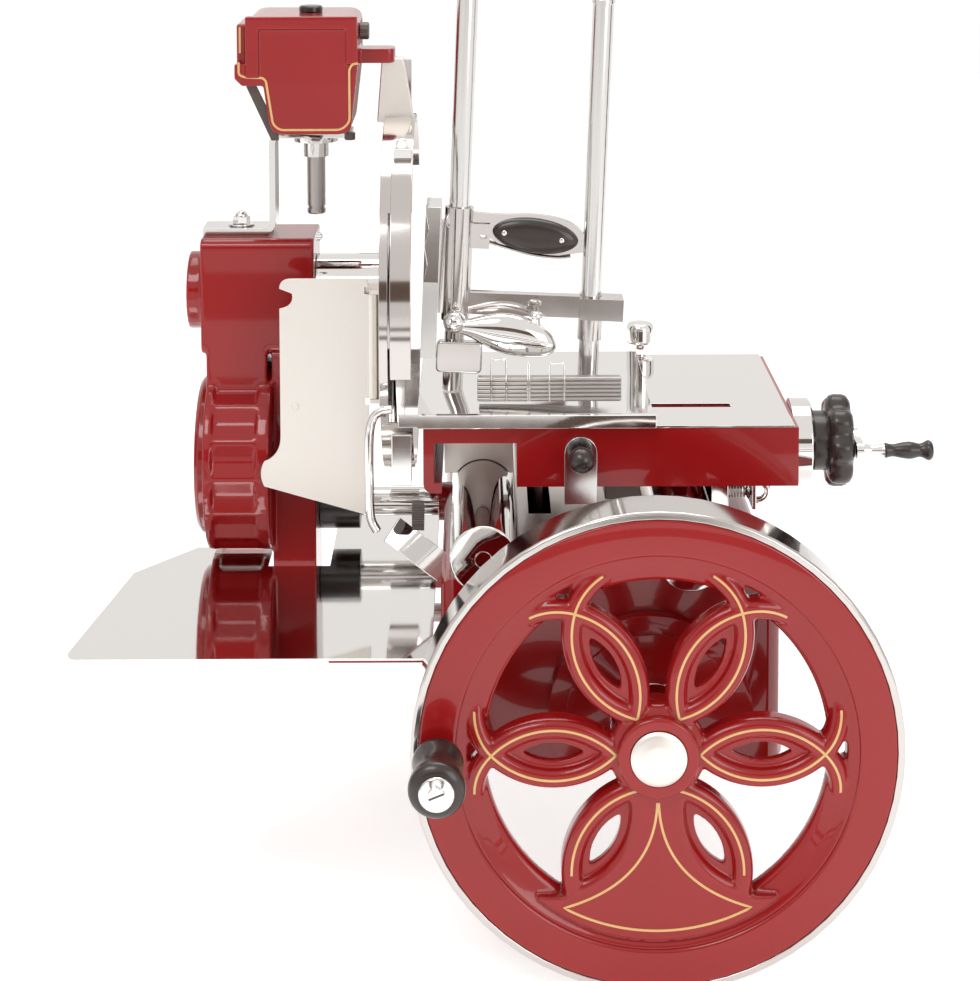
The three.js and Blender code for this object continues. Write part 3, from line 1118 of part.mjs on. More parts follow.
// Press, on the leaning columns
const pressGroup = group(press.x, press.y, tableTopZ);
pressGroup.rotation.y = THREE.MathUtils.degToRad(press.lean);
const rise = press.spacing * Math.tan(THREE.MathUtils.degToRad(press.lean));
for (const [name, x, foot] of [['left_column', 0, press.foot],
  ['right_column', press.spacing, press.foot + rise]]) {
  piece(name, column(foot), colour.chrome, group(x, 0, 0, pressGroup));
}
piece('press_arm', pressArm(), colour.chrome, pressGroup);
piece('press_plate', pressPlate(), colour.chrome, pressGroup);
piece('clamp_block', clampBlock(), colour.chrome, pressGroup);
const leverGroup = group(lever.pivotX, lever.y, lever.pivotZ, pressGroup);
piece('press_lever', pressLever(), colour.chrome, leverGroup);
piece('lever_grip', leverGrip(), colour.black, leverGroup);
piece('spoon_handle', spoonHandle(), colour.chrome, group(spoon.x, spoon.y, spoon.z, pressGroup));

// Sharpener
piece('sharpener_bracket', bentStrip(), colour.chrome);
piece('sharpener_box', sharpenerBox(), colour.red);
const pinAxis = group(sharp.pinX, 0, 0);
piece('sharpener_pin', sharpenerPin(), colour.steel, pinAxis);
piece('turn_knob', turnKnob(), colour.black, group(topKnob.x, 0, 0));
const stoneAxis = group(0, stone.y, stone.z);
piece('stone_spindle', stoneSpindle(), colour.dark, stoneAxis);
piece('grinding_stone', grindingStone(), colour.stone, stoneAxis);

export default model;
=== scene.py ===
# %% [markdown]
# # A hand cranked flywheel slicer
# The machine is cast iron under gloss red enamel, with polished steel rails, columns and trays.
# The measured pieces arrive as a frame. This file gives each of them rounded edges and a finish,
# adds the painted lines and the small fittings, and lights the whole in a pale studio.

# %% Load the measured pieces
import math

import bmesh
import bpy
from mathutils import Matrix, Vector

import json


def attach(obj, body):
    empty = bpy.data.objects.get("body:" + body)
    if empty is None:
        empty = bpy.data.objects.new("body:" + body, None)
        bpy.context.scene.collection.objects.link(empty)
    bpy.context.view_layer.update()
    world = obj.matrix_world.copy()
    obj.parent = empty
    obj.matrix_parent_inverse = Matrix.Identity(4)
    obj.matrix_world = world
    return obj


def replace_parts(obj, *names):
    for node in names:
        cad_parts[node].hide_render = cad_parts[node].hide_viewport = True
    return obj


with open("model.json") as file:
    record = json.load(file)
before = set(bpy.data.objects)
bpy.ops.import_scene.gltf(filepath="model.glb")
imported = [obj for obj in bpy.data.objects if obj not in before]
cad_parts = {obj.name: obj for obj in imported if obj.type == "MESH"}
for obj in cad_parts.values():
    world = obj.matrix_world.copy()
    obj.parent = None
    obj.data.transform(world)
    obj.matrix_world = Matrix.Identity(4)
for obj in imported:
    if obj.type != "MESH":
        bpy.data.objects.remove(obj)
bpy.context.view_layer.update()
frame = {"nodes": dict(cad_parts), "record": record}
MM = 0.001
bodies = frame["record"]["behaviour"]["bodies"]
body_of_node = {node: body for body, nodes in bodies.items() for node in nodes}
slot_of_node = {row["node"]: row["material_slot"] for row in frame["record"]["subparts"]}


# %% [markdown]
# The photograph was taken from above the flywheel side, a little left of the middle. The camera
# is almost level and looks down mostly through its shift, which keeps the columns close to
# upright and the flywheel close to round.

# %% Camera
def studio_camera(place, pitch, yaw, roll, focal_px, shift):
    data = bpy.data.cameras.new("studio_camera")
    data.sensor_fit = "HORIZONTAL"
    data.sensor_width = 36
    frame_px = 980
    data.lens = focal_px / frame_px * data.sensor_width
    data.shift_y = shift
    camera = bpy.data.objects.new("studio_camera", data)
    bpy.context.scene.collection.objects.link(camera)
    turn = Matrix.Rotation(-yaw, 4, "Z") @ Matrix.Rotation(math.pi / 2 - pitch, 4, "X")
    camera.matrix_world = Matrix.Translation(place) @ turn @ Matrix.Rotation(-roll, 4, "Z")
    bpy.context.scene.camera = camera
    return camera


camera = studio_camera(
    place=Vector((-116.1, -2233.5, 855.7)) * MM,
    pitch=math.radians(4.349), yaw=math.radians(0.295), roll=math.radians(0.133),
    focal_px=2290.6, shift=-0.5284,
)
print("lens", round(camera.data.lens, 1), "mm")


# %% [markdown]
# Finishes and the room are small networks of nodes. Placing each node by hand in the editor would
# work, but a sum written as a sum is easier to read. So the output of a node is wrapped in a class
# that knows + and *, and every other node is made by one method of it.

# %% Arithmetic on node sockets
class Value:
    """The output of a node. Adding or multiplying it adds a Math node."""

    def __init__(self, tree, socket):
        self.tree, self.socket = tree, socket

    @classmethod
    def made(cls, tree, kind, output, settings=(), sockets=()):
        """Makes a node from its type, then its settings, then what its sockets hold."""
        node = tree.nodes.new(kind)
        for name, setting in dict(settings).items():
            setattr(node, name, setting)
        for name, held in dict(sockets).items():
            if isinstance(held, cls):
                tree.links.new(held.socket, node.inputs[name])
            else:
                node.inputs[name].default_value = held
        return cls(tree, node.outputs[output])

    def step(self, operation, other):
        return self.made(self.tree, "ShaderNodeMath", 0, {"operation": operation}, {0: self, 1: other})

    def __add__(self, other):
        return self.step("ADD", other)

    def __mul__(self, other):
        return self.step("MULTIPLY", other)

    __radd__, __rmul__ = __add__, __mul__


print("a value knows + and *")


# %% [markdown]
# Polished metal only shows what surrounds it. A white room alone would make it look like paper,
# so dark cards stand to the sides, brown ones stand behind the camera and behind the part, and
# two more lie on the floor in front. They are seen in reflections and never by the camera.

# %% Lights, floor and cards
def area_light(name, place, target, size, watts):
    data = bpy.data.lights.new(name, "AREA")
    data.shape = "RECTANGLE"
    data.size, data.size_y = size
    data.energy = watts
    lamp = bpy.data.objects.new(name, data)
    bpy.context.scene.collection.objects.link(lamp)
    aim = (Vector(target) - Vector(place)).to_track_quat("-Z", "Y")
    lamp.matrix_world = Matrix.Translation(place) @ aim.to_matrix().to_4x4()


def card(name, place, size, turn, finish, flat=False):
    shape = bmesh.new()
    bmesh.ops.create_grid(shape, x_segments=1, y_segments=1, size=0.5)
    bmesh.ops.scale(shape, vec=(size[0], size[1], 1), verts=shape.verts)
    if not flat:
        bmesh.ops.rotate(shape, matrix=Matrix.Rotation(math.pi / 2, 3, "X"), verts=shape.verts)
    bmesh.ops.rotate(shape, matrix=Matrix.Rotation(turn, 3, "Z"), verts=shape.verts)
    bmesh.ops.translate(shape, vec=place, verts=shape.verts)
    data = bpy.data.meshes.new(name)
    shape.to_mesh(data)
    shape.free()
    data.materials.append(finish)
    piece = bpy.data.objects.new(name, data)
    bpy.context.scene.collection.objects.link(piece)
    piece.visible_camera = False
    piece.visible_shadow = False
    piece.visible_diffuse = False


def flat_tone(name, tone):
    finish = bpy.data.materials.new(name)
    finish.use_nodes = True
    shader = finish.node_tree.nodes["Principled BSDF"]
    shader.inputs["Base Color"].default_value = (*tone, 1)
    shader.inputs["Roughness"].default_value = 0.9
    return finish


world = bpy.data.worlds.new("white_room")
world.use_nodes = True
bpy.context.scene.world = world
room_tree = world.node_tree
room = room_tree.nodes["Background"]
by_camera, by_glossy = [
    Value.made(room_tree, "ShaderNodeLightPath", ray) for ray in ("Is Camera Ray", "Is Glossy Ray")
]


def by_ray(ray, elsewhere, seen_by_ray):
    """One strength for the rays of a kind and another elsewhere."""
    held = {"Factor": ray, "A": elsewhere, "B": seen_by_ray}
    return Value.made(room_tree, "ShaderNodeMix", "Result", sockets=held)


lighting, reflected, seen = 0.55, 0.93, 1.0
strength = by_ray(by_camera, by_ray(by_glossy, lighting, reflected), seen)
room_tree.links.new(strength.socket, room.inputs["Strength"])
warm, white = (1.0, 0.975, 0.95, 1), (1, 1, 1, 1)
tint = Value.made(room_tree, "ShaderNodeMix", "Result", {"data_type": "RGBA"},
                  {"A": warm, "B": white, "Factor": by_camera})
room_tree.links.new(tint.socket, room.inputs["Color"])

area_light("key_light", (-1.1, -1.9, 2.5), (0, 0, 0.2), (1.5, 0.9), 24)
area_light("fill_light", (1.5, -2.2, 0.9), (0.05, -0.3, 0.1), (1.2, 1.2), 13)
area_light("top_light", (0.1, 0.5, 2.6), (0, 0, 0.2), (1.8, 1.4), 24)

dark = flat_tone("dark_card", (0.030, 0.022, 0.020))
brown = flat_tone("brown_card", (0.13, 0.085, 0.065))
card("card_left", (-2.3, 0.1, 0.75), (0.55, 3.0), math.radians(82), dark)
card("card_right", (2.3, 0.2, 0.75), (0.55, 3.0), math.radians(-82), dark)
card("card_camera", (-0.1, -3.1, 0.95), (3.6, 0.7), 0, brown)
card("card_back", (-0.2, 3.2, 0.25), (0.4, 0.9), math.radians(180), brown)
floor_z = -0.1665
card("card_near", (-0.1, -1.72, floor_z + 0.0025), (3.6, 0.25), 0, brown, flat=True)
card("card_far", (-0.1, -2.52, floor_z + 0.0025), (3.6, 0.45), 0, brown, flat=True)

counter = bmesh.new()
bmesh.ops.create_grid(counter, x_segments=1, y_segments=1, size=6)
bmesh.ops.translate(counter, vec=(0, 0, floor_z), verts=counter.verts)
floor_data = bpy.data.meshes.new("floor")
counter.to_mesh(floor_data)
counter.free()
floor = bpy.data.objects.new("floor", floor_data)
bpy.context.scene.collection.objects.link(floor)
floor_finish = bpy.data.materials.new("pale_floor")
floor_finish.use_nodes = True
shader = floor_finish.node_tree.nodes["Principled BSDF"]
shader.inputs["Base Color"].default_value = (0.94, 0.94, 0.94, 1)
shader.inputs["Roughness"].default_value = 0.7
shader.inputs["Emission Color"].default_value = (1, 1, 1, 1)
shader.inputs["Emission Strength"].default_value = 0.5
floor_data.materials.append(floor_finish)
scene = bpy.context.scene
scene.view_settings.view_transform = "Standard"


# %% [markdown]
# Every finish starts from one Principled shader. A number that is the same all over is set on the
# shader itself, and only what changes over the surface is linked to a network.

# %% Making a finish
def new_finish(name, colour, roughness, metallic=0.0, coat=0.0, coat_roughness=0.03):
    finish = bpy.data.materials.new(name)
    finish.use_nodes = True
    shader = finish.node_tree.nodes["Principled BSDF"]
    shader.inputs["Base Color"].default_value = (*colour, 1)
    shader.inputs["Roughness"].default_value = roughness
    shader.inputs["Metallic"].default_value = metallic
    shader.inputs["Coat Weight"].default_value = coat
    shader.inputs["Coat Roughness"].default_value = coat_roughness
    return finish


def noise(finish, scale, detail=2.0, stretch=(1, 1, 1)):
    """Soft noise that sticks to the piece, stretched along it where a grain runs."""
    tree = finish.node_tree
    where = Value.made(tree, "ShaderNodeTexCoord", "Object")
    place = Value.made(tree, "ShaderNodeMapping", "Vector", sockets={"Scale": stretch, "Vector": where})
    held = {"Scale": scale, "Detail": detail, "Vector": place}
    return Value.made(tree, "ShaderNodeTexNoise", "Fac", sockets=held)


def between(factor, low, high):
    """A colour that moves from low to high with the factor."""
    held = {"A": (*low, 1), "B": (*high, 1), "Factor": factor}
    return Value.made(factor.tree, "ShaderNodeMix", "Result", {"data_type": "RGBA"}, held)


def feed(finish, name, value):
    tree = finish.node_tree
    tree.links.new(value.socket, tree.nodes["Principled BSDF"].inputs[name])


def bump(finish, height, distance, strength):
    held = {"Distance": distance, "Strength": strength, "Height": height}
    feed(finish, "Normal", Value.made(finish.node_tree, "ShaderNodeBump", "Normal", sockets=held))


print("ready to make finishes")


# %% [markdown]
# Gloss enamel over cast iron is never quite flat: the casting leaves a slow ripple that bends
# the reflections, and the colour is a little deeper in places. Both come from wide, soft noise,
# since an image would need its own map on every piece. Polished steel gets the faintest ripple,
# satin steel a fine grain along the metal, and the handles the soft speckle of moulded plastic.

# %% Finishes
def enamel():
    finish = new_finish("red_enamel", (0.31, 0.007, 0.008), 0.22, coat=0.6)
    finish.node_tree.nodes["Principled BSDF"].inputs["Specular IOR Level"].default_value = 0.25
    tone = noise(finish, 9, 3)
    feed(finish, "Base Color", between(tone, (0.28, 0.005, 0.006), (0.34, 0.009, 0.010)))
    feed(finish, "Roughness", noise(finish, 60, 2) * 0.1 + 0.17)
    bump(finish, noise(finish, 18, 2), 0.0005, 0.2)
    return finish


def polished(name, tint, roughness):
    finish = new_finish(name, tint, roughness, metallic=1.0)
    smear = noise(finish, 30, 4)
    feed(finish, "Roughness", smear * 0.05 + roughness)
    bump(finish, noise(finish, 14, 2), 0.0004, 0.12)
    return finish


def brushed(name, tint, roughness, along):
    finish = new_finish(name, tint, roughness, metallic=1.0)
    grain = noise(finish, 900, 2, along)
    feed(finish, "Roughness", grain * 0.08 + roughness)
    darker, lighter = [tuple(min(c * share, 1) for c in tint) for share in (0.97, 1.02)]
    feed(finish, "Base Color", between(grain, darker, lighter))
    bump(finish, grain, 0.00002, 0.25)
    return finish


def moulded(name, tint, roughness):
    finish = new_finish(name, tint, roughness, coat=0.35, coat_roughness=0.15)
    speck = noise(finish, 220, 3)
    feed(finish, "Roughness", speck * 0.12 + roughness)
    feed(finish, "Base Color", between(speck, tint, tuple(c * 1.5 for c in tint)))
    bump(finish, speck, 0.00005, 0.3)
    return finish


def gold():
    finish = new_finish("gold_paint", (0.72, 0.42, 0.14), 0.3, coat=0.8)
    tone = noise(finish, 80, 2)
    feed(finish, "Base Color", between(tone, (0.66, 0.37, 0.12), (0.78, 0.48, 0.18)))
    feed(finish, "Roughness", tone * 0.1 + 0.26)
    return finish


def gritty():
    finish = new_finish("grinding_stone", (0.42, 0.40, 0.35), 0.95)
    grain = noise(finish, 900, 4)
    feed(finish, "Base Color", between(grain, (0.30, 0.28, 0.25), (0.55, 0.52, 0.46)))
    bump(finish, grain, 0.0003, 0.8)
    return finish


finishes = {
    "red_enamel": enamel(),
    "chrome": polished("chrome", (0.80, 0.785, 0.77), 0.035),
    "drawn_chrome": polished("drawn_chrome", (0.74, 0.725, 0.71), 0.12),
    # A darker, warmer copy of the polished chrome: its extra darkness is painted shade.
    "rim_chrome": polished("rim_chrome", (0.60, 0.565, 0.545), 0.07),
    "satin_steel": brushed("satin_steel", (0.84, 0.80, 0.75), 0.36, (1, 1, 0.2)),
    "steel": brushed("steel", (0.46, 0.43, 0.41), 0.3, (0.2, 1, 1)),
    "black_plastic": moulded("black_plastic", (0.020, 0.012, 0.010), 0.26),
    "dark_iron": moulded("dark_iron", (0.060, 0.042, 0.036), 0.34),
    "grinding_stone": gritty(),
    "gold_paint": gold(),
}
print(len(finishes), "finishes")


# %% [markdown]
# Shapes are drawn in millimetres and turned into metres once, when a piece is linked. A few ways
# of making a closed shell are enough for the whole machine: spin a profile, push an outline,
# frame one outline with another, sweep a section along a flat path, or run a tube in space.
# The first two are bmesh operators. No operator sweeps a section along a path, so there the
# rings are placed one by one and joined. Modifiers on curves could do it too, but a mesh made
# here needs no helper object.

# %% Ways of making a closed shell
def place_in(axis, u, v, along):
    return {"x": Vector((along, u, v)), "y": Vector((u, along, v)), "z": Vector((u, v, along))}[axis]


def spun(shape, profile, axis, centre=(0, 0), steps=96):
    """Spins a profile of (radius, place along the axis) points into a closed shell."""
    before = set(shape.verts)
    points = [place_in(axis, centre[0] + radius, centre[1], along) for radius, along in profile]
    line = [shape.verts.new(point) for point in points]
    pairs = list(zip(line, line[1:]))
    if min(profile[0][0], profile[-1][0]) > 0:
        pairs.append((line[-1], line[0]))
    edges = [shape.edges.new(pair) for pair in pairs]
    middle, run = place_in(axis, *centre, 0), place_in(axis, 0, 0, 1)
    bmesh.ops.spin(shape, geom=line + edges, cent=middle, axis=run, angle=2 * math.pi, steps=steps,
                   use_merge=True)
    made = [v for v in shape.verts if v not in before]
    poles = [v for v in made if (v.co - middle).cross(run).length < 0.001]
    bmesh.ops.remove_doubles(shape, verts=poles, dist=0.001)


def pushed(shape, outline, axis, start, stop):
    """Extrudes a flat outline along an axis into a closed shell."""
    face = shape.faces.new([shape.verts.new(place_in(axis, u, v, start)) for u, v in outline])
    made = bmesh.ops.extrude_face_region(shape, geom=[face])["geom"]
    far_end = [item for item in made if isinstance(item, bmesh.types.BMVert)]
    bmesh.ops.translate(shape, vec=place_in(axis, 0, 0, stop - start), verts=far_end)


def framed(shape, outer, inner, axis, start, stop):
    """A flat frame between an outline and a smaller one with as many points."""
    loops = [[shape.verts.new(place_in(axis, u, v, along)) for u, v in line]
             for line, along in ((outer, start), (outer, stop), (inner, stop), (inner, start))]
    count = len(outer)
    for a, b in zip(loops, loops[1:] + loops[:1]):
        for i in range(count):
            shape.faces.new([a[i], a[(i + 1) % count], b[(i + 1) % count], b[i]])


def swept(shape, path, section, axis="y", closed=False):
    """Sweeps a section of (across, depth) points along a flat path of (u, v, depth) points."""
    rings = []
    last = len(path) - 1
    for i, (u, v, depth) in enumerate(path):
        before = path[i - 1] if i or closed else path[0]
        after = path[(i + 1) % len(path)] if i < last or closed else path[last]
        run = Vector((after[0] - before[0], after[1] - before[1])).normalized()
        spots = [(u - run.y * a, v + run.x * a, depth + d) for a, d in section]
        rings.append([shape.verts.new(place_in(axis, *spot)) for spot in spots])
    neighbours = list(zip(rings, rings[1:])) + ([(rings[-1], rings[0])] if closed else [])
    for low, high in neighbours:
        for i in range(len(section)):
            j = (i + 1) % len(section)
            shape.faces.new([low[i], low[j], high[j], high[i]])
    if not closed:
        shape.faces.new(rings[0])
        shape.faces.new(rings[-1][::-1])


def tube(shape, path, size, sides, flat=1.0, upright=Vector((0, 1, 0))):
    """A tube through points in space; flat makes it wider one way."""
    rings = []
    for i, point in enumerate(path):
        ahead = (path[min(i + 1, len(path) - 1)] - path[max(i - 1, 0)]).normalized()
        side = ahead.cross(upright).normalized()
        over = side.cross(ahead)
        wide = size * flat
        rings.append([shape.verts.new(point + side * size * math.cos(t) + over * wide * math.sin(t))
                      for t in (2 * math.pi * k / sides for k in range(sides))])
    for low, high in zip(rings, rings[1:]):
        for i in range(sides):
            j = (i + 1) % sides
            shape.faces.new([low[i], low[j], high[j], high[i]])
    shape.faces.new(rings[0])
    shape.faces.new(rings[-1][::-1])


def brick(shape, x, y, z):
    made = bmesh.ops.create_cube(shape, size=1)["verts"]
    bmesh.ops.scale(shape, vec=(x[1] - x[0], y[1] - y[0], z[1] - z[0]), verts=made)
    bmesh.ops.translate(shape, vec=((x[0] + x[1]) / 2, (y[0] + y[1]) / 2, (z[0] + z[1]) / 2), verts=made)
    return made


def curve(points, steps):
    """A smooth line through a few points."""
    ends = [points[0] * 2 - points[1]] + points + [points[-1] * 2 - points[-2]]
    line = []
    for a, b, c, d in zip(ends, ends[1:], ends[2:], ends[3:]):
        for k in range(steps):
            t = k / steps
            square, cube = (2 * a - 5 * b + 4 * c - d), (3 * b - a - 3 * c + d)
            line.append(0.5 * (2 * b + (c - a) * t + square * t * t + cube * t ** 3))
    return line + [points[-1]]


def eased(profile, radius, steps=4):
    """Rounds the corners of a profile, all but its first and last points."""
    line = [Vector(p) for p in profile]
    out = [line[0]]
    for before, corner, after in zip(line, line[1:], line[2:]):
        reach = min(radius, (before - corner).length * 0.45, (after - corner).length * 0.45)
        start = corner + (before - corner).normalized() * reach
        stop = corner + (after - corner).normalized() * reach
        for k in range(steps + 1):
            t = k / steps
            out.append(start * (1 - t) ** 2 + corner * 2 * t * (1 - t) + stop * t * t)
    return [tuple(p) for p in out + [line[-1]]]


def arc(radius, start, stop, steps, centre=(0, 0)):
    turns = [math.radians(start + (stop - start) * k / steps) for k in range(steps + 1)]
    return [(centre[0] + radius * math.cos(t), centre[1] + radius * math.sin(t)) for t in turns]


def turned_by(points, degrees):
    c, s = math.cos(math.radians(degrees)), math.sin(math.radians(degrees))
    return [(p[0] * c - p[1] * s, p[0] * s + p[1] * c, *p[2:]) for p in points]


def ball_profile(radius, start, stop, step, along=0):
    """The outline of a ball between two angles, for spinning."""
    turns = [math.radians(a) for a in range(start, stop, step)]
    return [(radius * math.cos(t), along + radius * math.sin(t)) for t in turns]


def ring_profile(reach, thick, along, count):
    """The round section of a ring, for spinning."""
    turns = [2 * math.pi * k / count for k in range(count)]
    return [(reach + thick * math.cos(t), along + thick * math.sin(t)) for t in turns]


slots = {row["slot"] for row in frame["record"]["materials"]}


other_finish = {
    "left_column": "drawn_chrome", "right_column": "drawn_chrome", "lock_strap": "drawn_chrome",
    "sharpener_bracket": "drawn_chrome", "press_plate": "drawn_chrome",
    # The flywheel rim, blade guard, clamp block and press arm get a darker chrome whose tint is painted
    # shade.
    "flywheel_rim": "rim_chrome", "blade_guard": "rim_chrome", "clamp_block": "rim_chrome",
    "press_arm": "rim_chrome", "rail_bearing": "satin_steel",
}


def link(name, shape, finish, body, smooth=35, move=(0, 0, 0), scaled=True, slot=None):
    """Turns a shape into a shown piece that rides on a body."""
    bmesh.ops.recalc_face_normals(shape, faces=shape.faces)
    if scaled:
        bmesh.ops.translate(shape, vec=move, verts=shape.verts)
        bmesh.ops.scale(shape, vec=(MM, MM, MM), verts=shape.verts)
    data = bpy.data.meshes.new(name)
    shape.to_mesh(data)
    shape.free()
    data.materials.append(finishes[finish])
    piece = bpy.data.objects.new(name, data)
    bpy.context.scene.collection.objects.link(piece)
    data.shade_smooth()
    data.set_sharp_from_angle(angle=math.radians(smooth))
    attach(piece, body)
    slot or (finish if finish in slots else "red_enamel")
    return piece


def bevelled(piece, edge, steps=2, sharp=35):
    bevel = piece.modifiers.new("edge", "BEVEL")
    bevel.width = edge * MM
    bevel.segments = steps
    bevel.limit_method = "ANGLE"
    bevel.angle_limit = math.radians(sharp)
    bevel.harden_normals = True
    return piece


def cast(piece, grain, rounds):
    """Melts the shells of a piece into one skin with soft corners, like a casting."""
    melt = piece.modifiers.new("melt", "REMESH")
    melt.mode = "VOXEL"
    melt.voxel_size = grain * MM
    melt.use_smooth_shade = True
    soften = piece.modifiers.new("soften", "SMOOTH")
    soften.factor = 0.5
    soften.iterations = rounds
    return piece


print("shell makers ready")


# %% [markdown]
# ## Measured pieces
# The measured solids have knife edges. Real castings and pressed sheets have a small round on
# each edge that catches light. They could be modelled again by hand, but a copy is sure to keep
# their sizes. So each piece is copied, its triangles are merged into whole faces, and a bevel
# rounds the sharp edges. Where shells of a casting run into each other a bevel can't blend them,
# so the cast bodies are melted into one soft skin instead.

# %% Round the edges of every measured piece
def rounded_copy(node, edge, sharp=35):
    shape = bmesh.new()
    shape.from_mesh(frame["nodes"][node].data)
    bmesh.ops.remove_doubles(shape, verts=shape.verts, dist=0.02 * MM)
    bmesh.ops.dissolve_limit(shape, angle_limit=math.radians(1.2), verts=shape.verts, edges=shape.edges)
    slot = slot_of_node[node]
    finish = other_finish.get(node, slot)
    name, body = node + "_dressed", body_of_node[node]
    piece = link(name, shape, finish, body, smooth=sharp, scaled=False, slot=slot)
    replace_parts(piece, node)
    bevelled(piece, edge, sharp=sharp)


def cast_copy(node, grain, rounds, extra=()):
    shape = bmesh.new()
    shape.from_mesh(frame["nodes"][node].data)
    for x, y, z in extra:
        border = brick(shape, x, y, z)
        bmesh.ops.scale(shape, vec=(MM, MM, MM), verts=border)
    name, body = node + "_cast", body_of_node[node]
    piece = link(name, shape, slot_of_node[node], body, smooth=180, scaled=False)
    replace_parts(piece, node)
    cast(piece, grain, rounds)


edges = {  # millimetres; every other piece has usual_edge or, where it is hidden, hidden_edge
    "base_casting": 2.0, "drum_cover": 1.6, "slide_body": 3.0, "flywheel_rim": 1.0, "blade_guard": 0.5,
    "meat_table": 0.8, "slice_tray": 0.5, "top_plate": 0.4, "deflector_plate": 0.4, "press_arm": 1.6,
    "screw_collar": 0.8, "clamp_block": 2.0,
}
usual_edge, hidden_edge = 0.6, 0.25
hidden = {
    "cross_shaft", "bevel_pinion", "cross_sprocket", "connecting_rod", "lay_shaft", "lay_wheels",
    "blade_sprocket", "upper_chain", "lower_chain", "bevel_gear", "bottom_cover",
}
border_depth = (-53.2, -48)
panel_border = [
    ((-339.5, -232), border_depth, (636, 648)),
    ((-339.5, -327), border_depth, (590, 640)),
    ((-243, -232), border_depth, (602, 640)),
]
castings = {"chain_housing": (1.5, 9), "sharpener_box": (1.0, 14, panel_border)}
remade = {
    "flywheel", "crank_grip", "index_knob", "crank_handle", "strap_knob", "lever_grip",
    "spoon_handle", "hub_cap", "fork_bar", "press_lever", "grip_spindle",
}
for node in frame["nodes"]:
    if node in castings:
        cast_copy(node, *castings[node])
    elif node not in remade:
        rounded_copy(node, hidden_edge if node in hidden else edges.get(node, usual_edge))
print(len(frame["nodes"]) - len(remade), "pieces with rounded edges,", len(castings), "of them cast")


# %% [markdown]
# ## Flywheel
# Six petals stand round a hub. Each petal is two rounded ribs that cross at the tip. On four of
# them the ribs run on as flares into the slope inside the flat band. The two beside the plain
# panel only have a short run-out. Cutting this out of a disc with booleans would leave sharp
# valleys, so the ribs are swept and then melted together, which rounds every valley by itself.
# All of it is drawn about the wheel's own centre.

# %% Flywheel
wheel = {"x": 35, "face": -345, "z": 45, "band": 172, "radius": 204, "depth": 36, "window": 147}
petal = {"inner": 36, "crossing": 142, "half": 22, "flare": 56, "flare_radius": 49, "rib": 8.8,
         "rib_depth": 21, "floor": 7.5, "slot": (52, 16)}
lower_petals = {240: 1, 300: -1}  # the side of each that faces the plain panel
wheel_place = (wheel["x"], wheel["face"], wheel["z"])
petal["middle"] = (petal["crossing"] + petal["inner"]) / 2
petal["reach"] = (petal["crossing"] - petal["inner"]) / 2
petal["radius"] = (petal["reach"] ** 2 + petal["half"] ** 2) / (2 * petal["half"])
petal["span"] = math.degrees(math.asin(petal["reach"] / petal["radius"]))


def petal_line(side, angle, flared, steps=40):
    """The crest of one rib: an arc from the hub to the tip, and a tighter one if it is flared."""
    centre = (petal["middle"], petal["half"] - petal["radius"])
    stop = 90 - petal["span"]
    line = [(u, side * v, 0) for u, v in arc(petal["radius"], 90 + petal["span"], stop, steps, centre)]
    if flared:
        tip = math.radians(stop)
        bend = petal["flare_radius"]
        pivot = (petal["crossing"] - bend * math.cos(tip), -bend * math.sin(tip))
        turn = arc(bend, stop, stop - petal["flare"], steps // 2, pivot)
        sink = 9
        line += [(u, side * v, sink * (k / (steps // 2)) ** 1.8) for k, (u, v) in enumerate(turn)][1:]
    return turned_by(line, angle)


def panel_edge(side, angle, reach, steps=40):
    """The side of the plain lower panel, along the middle of a petal's inner rib."""
    centre = (petal["middle"], petal["half"] - petal["radius"])
    line = arc(petal["radius"], 90 + petal["span"], 90 - petal["span"] - reach, steps, centre)
    return turned_by([(u, side * v) for u, v in line], angle)


def lens(length, width, steps=24):
    radius = ((length / 2) ** 2 + (width / 2) ** 2) / width
    span = math.degrees(math.asin(length / 2 / radius))
    over = arc(radius, 90 - span, 90 + span, steps, (petal["middle"], width / 2 - radius))
    under = arc(radius, 270 - span, 270 + span, steps, (petal["middle"], radius - width / 2))
    return over + under[1:-1]


def rib_section():
    half, depth = petal["rib"], petal["rib_depth"]
    crest = [(half, depth), (half, 7), (half * 0.86, 3.2), (half * 0.6, 0.9), (half * 0.3, 0)]
    return crest + [(-a, d) for a, d in reversed(crest)]


angles = [60 * k for k in range(6)]
relief = bmesh.new()
for angle in angles:
    lower = angle in lower_petals
    for side in (1, -1):
        swept(relief, petal_line(side, angle, not lower), rib_section())
        if lower and side != lower_petals[angle]:
            tail = panel_edge(side, angle, 18, 80)[40:]
            sunk = [(u, v, 12 * (k / 40) ** 1.5) for k, (u, v) in enumerate(tail)]
            swept(relief, sunk, rib_section())
    outer = turned_by(lens(2 * petal["reach"], 2 * petal["half"]), angle)
    inner = turned_by(lens(*petal["slot"]), angle)
    framed(relief, outer, inner, "y", petal["floor"], petal["floor"] + 9)
window, turns_round = wheel["window"], 160
slope = [(window, 24), (window, 17), (window + 1.5, 14), (window + 4, 11.8), (window + 4, 24)]
spun(relief, slope, "y", steps=turns_round)
outer_slope = [(162, 24), (162, 7.5), (168.5, 4.4), (171, 2.6), (176, 2.6), (176, 24)]
spun(relief, outer_slope, "y", steps=turns_round)
middle_slope = [(-5.6, 24), (-5.6, 11.9), (5.6, 7.4), (5.6, 24)]
hole_half = 2.7  # degrees left open at the tip of each upper petal
for angle in angles:
    start = angle + (hole_half if angle <= 180 else 0)
    stop = angle + 60 - (hole_half if angle + 60 <= 180 or angle + 60 == 360 else 0)
    ledge = [(u, v, 0) for u, v in arc(156.5, start, stop, 30)]
    swept(relief, ledge, [(-a, d) for a, d in middle_slope])
left_side, right_side = [panel_edge(side, angle, 24) for angle, side in lower_petals.items()]
panel = right_side + arc(163, 308, 232, 30) + left_side[::-1]
pushed(relief, panel, "y", 0.6, 14)
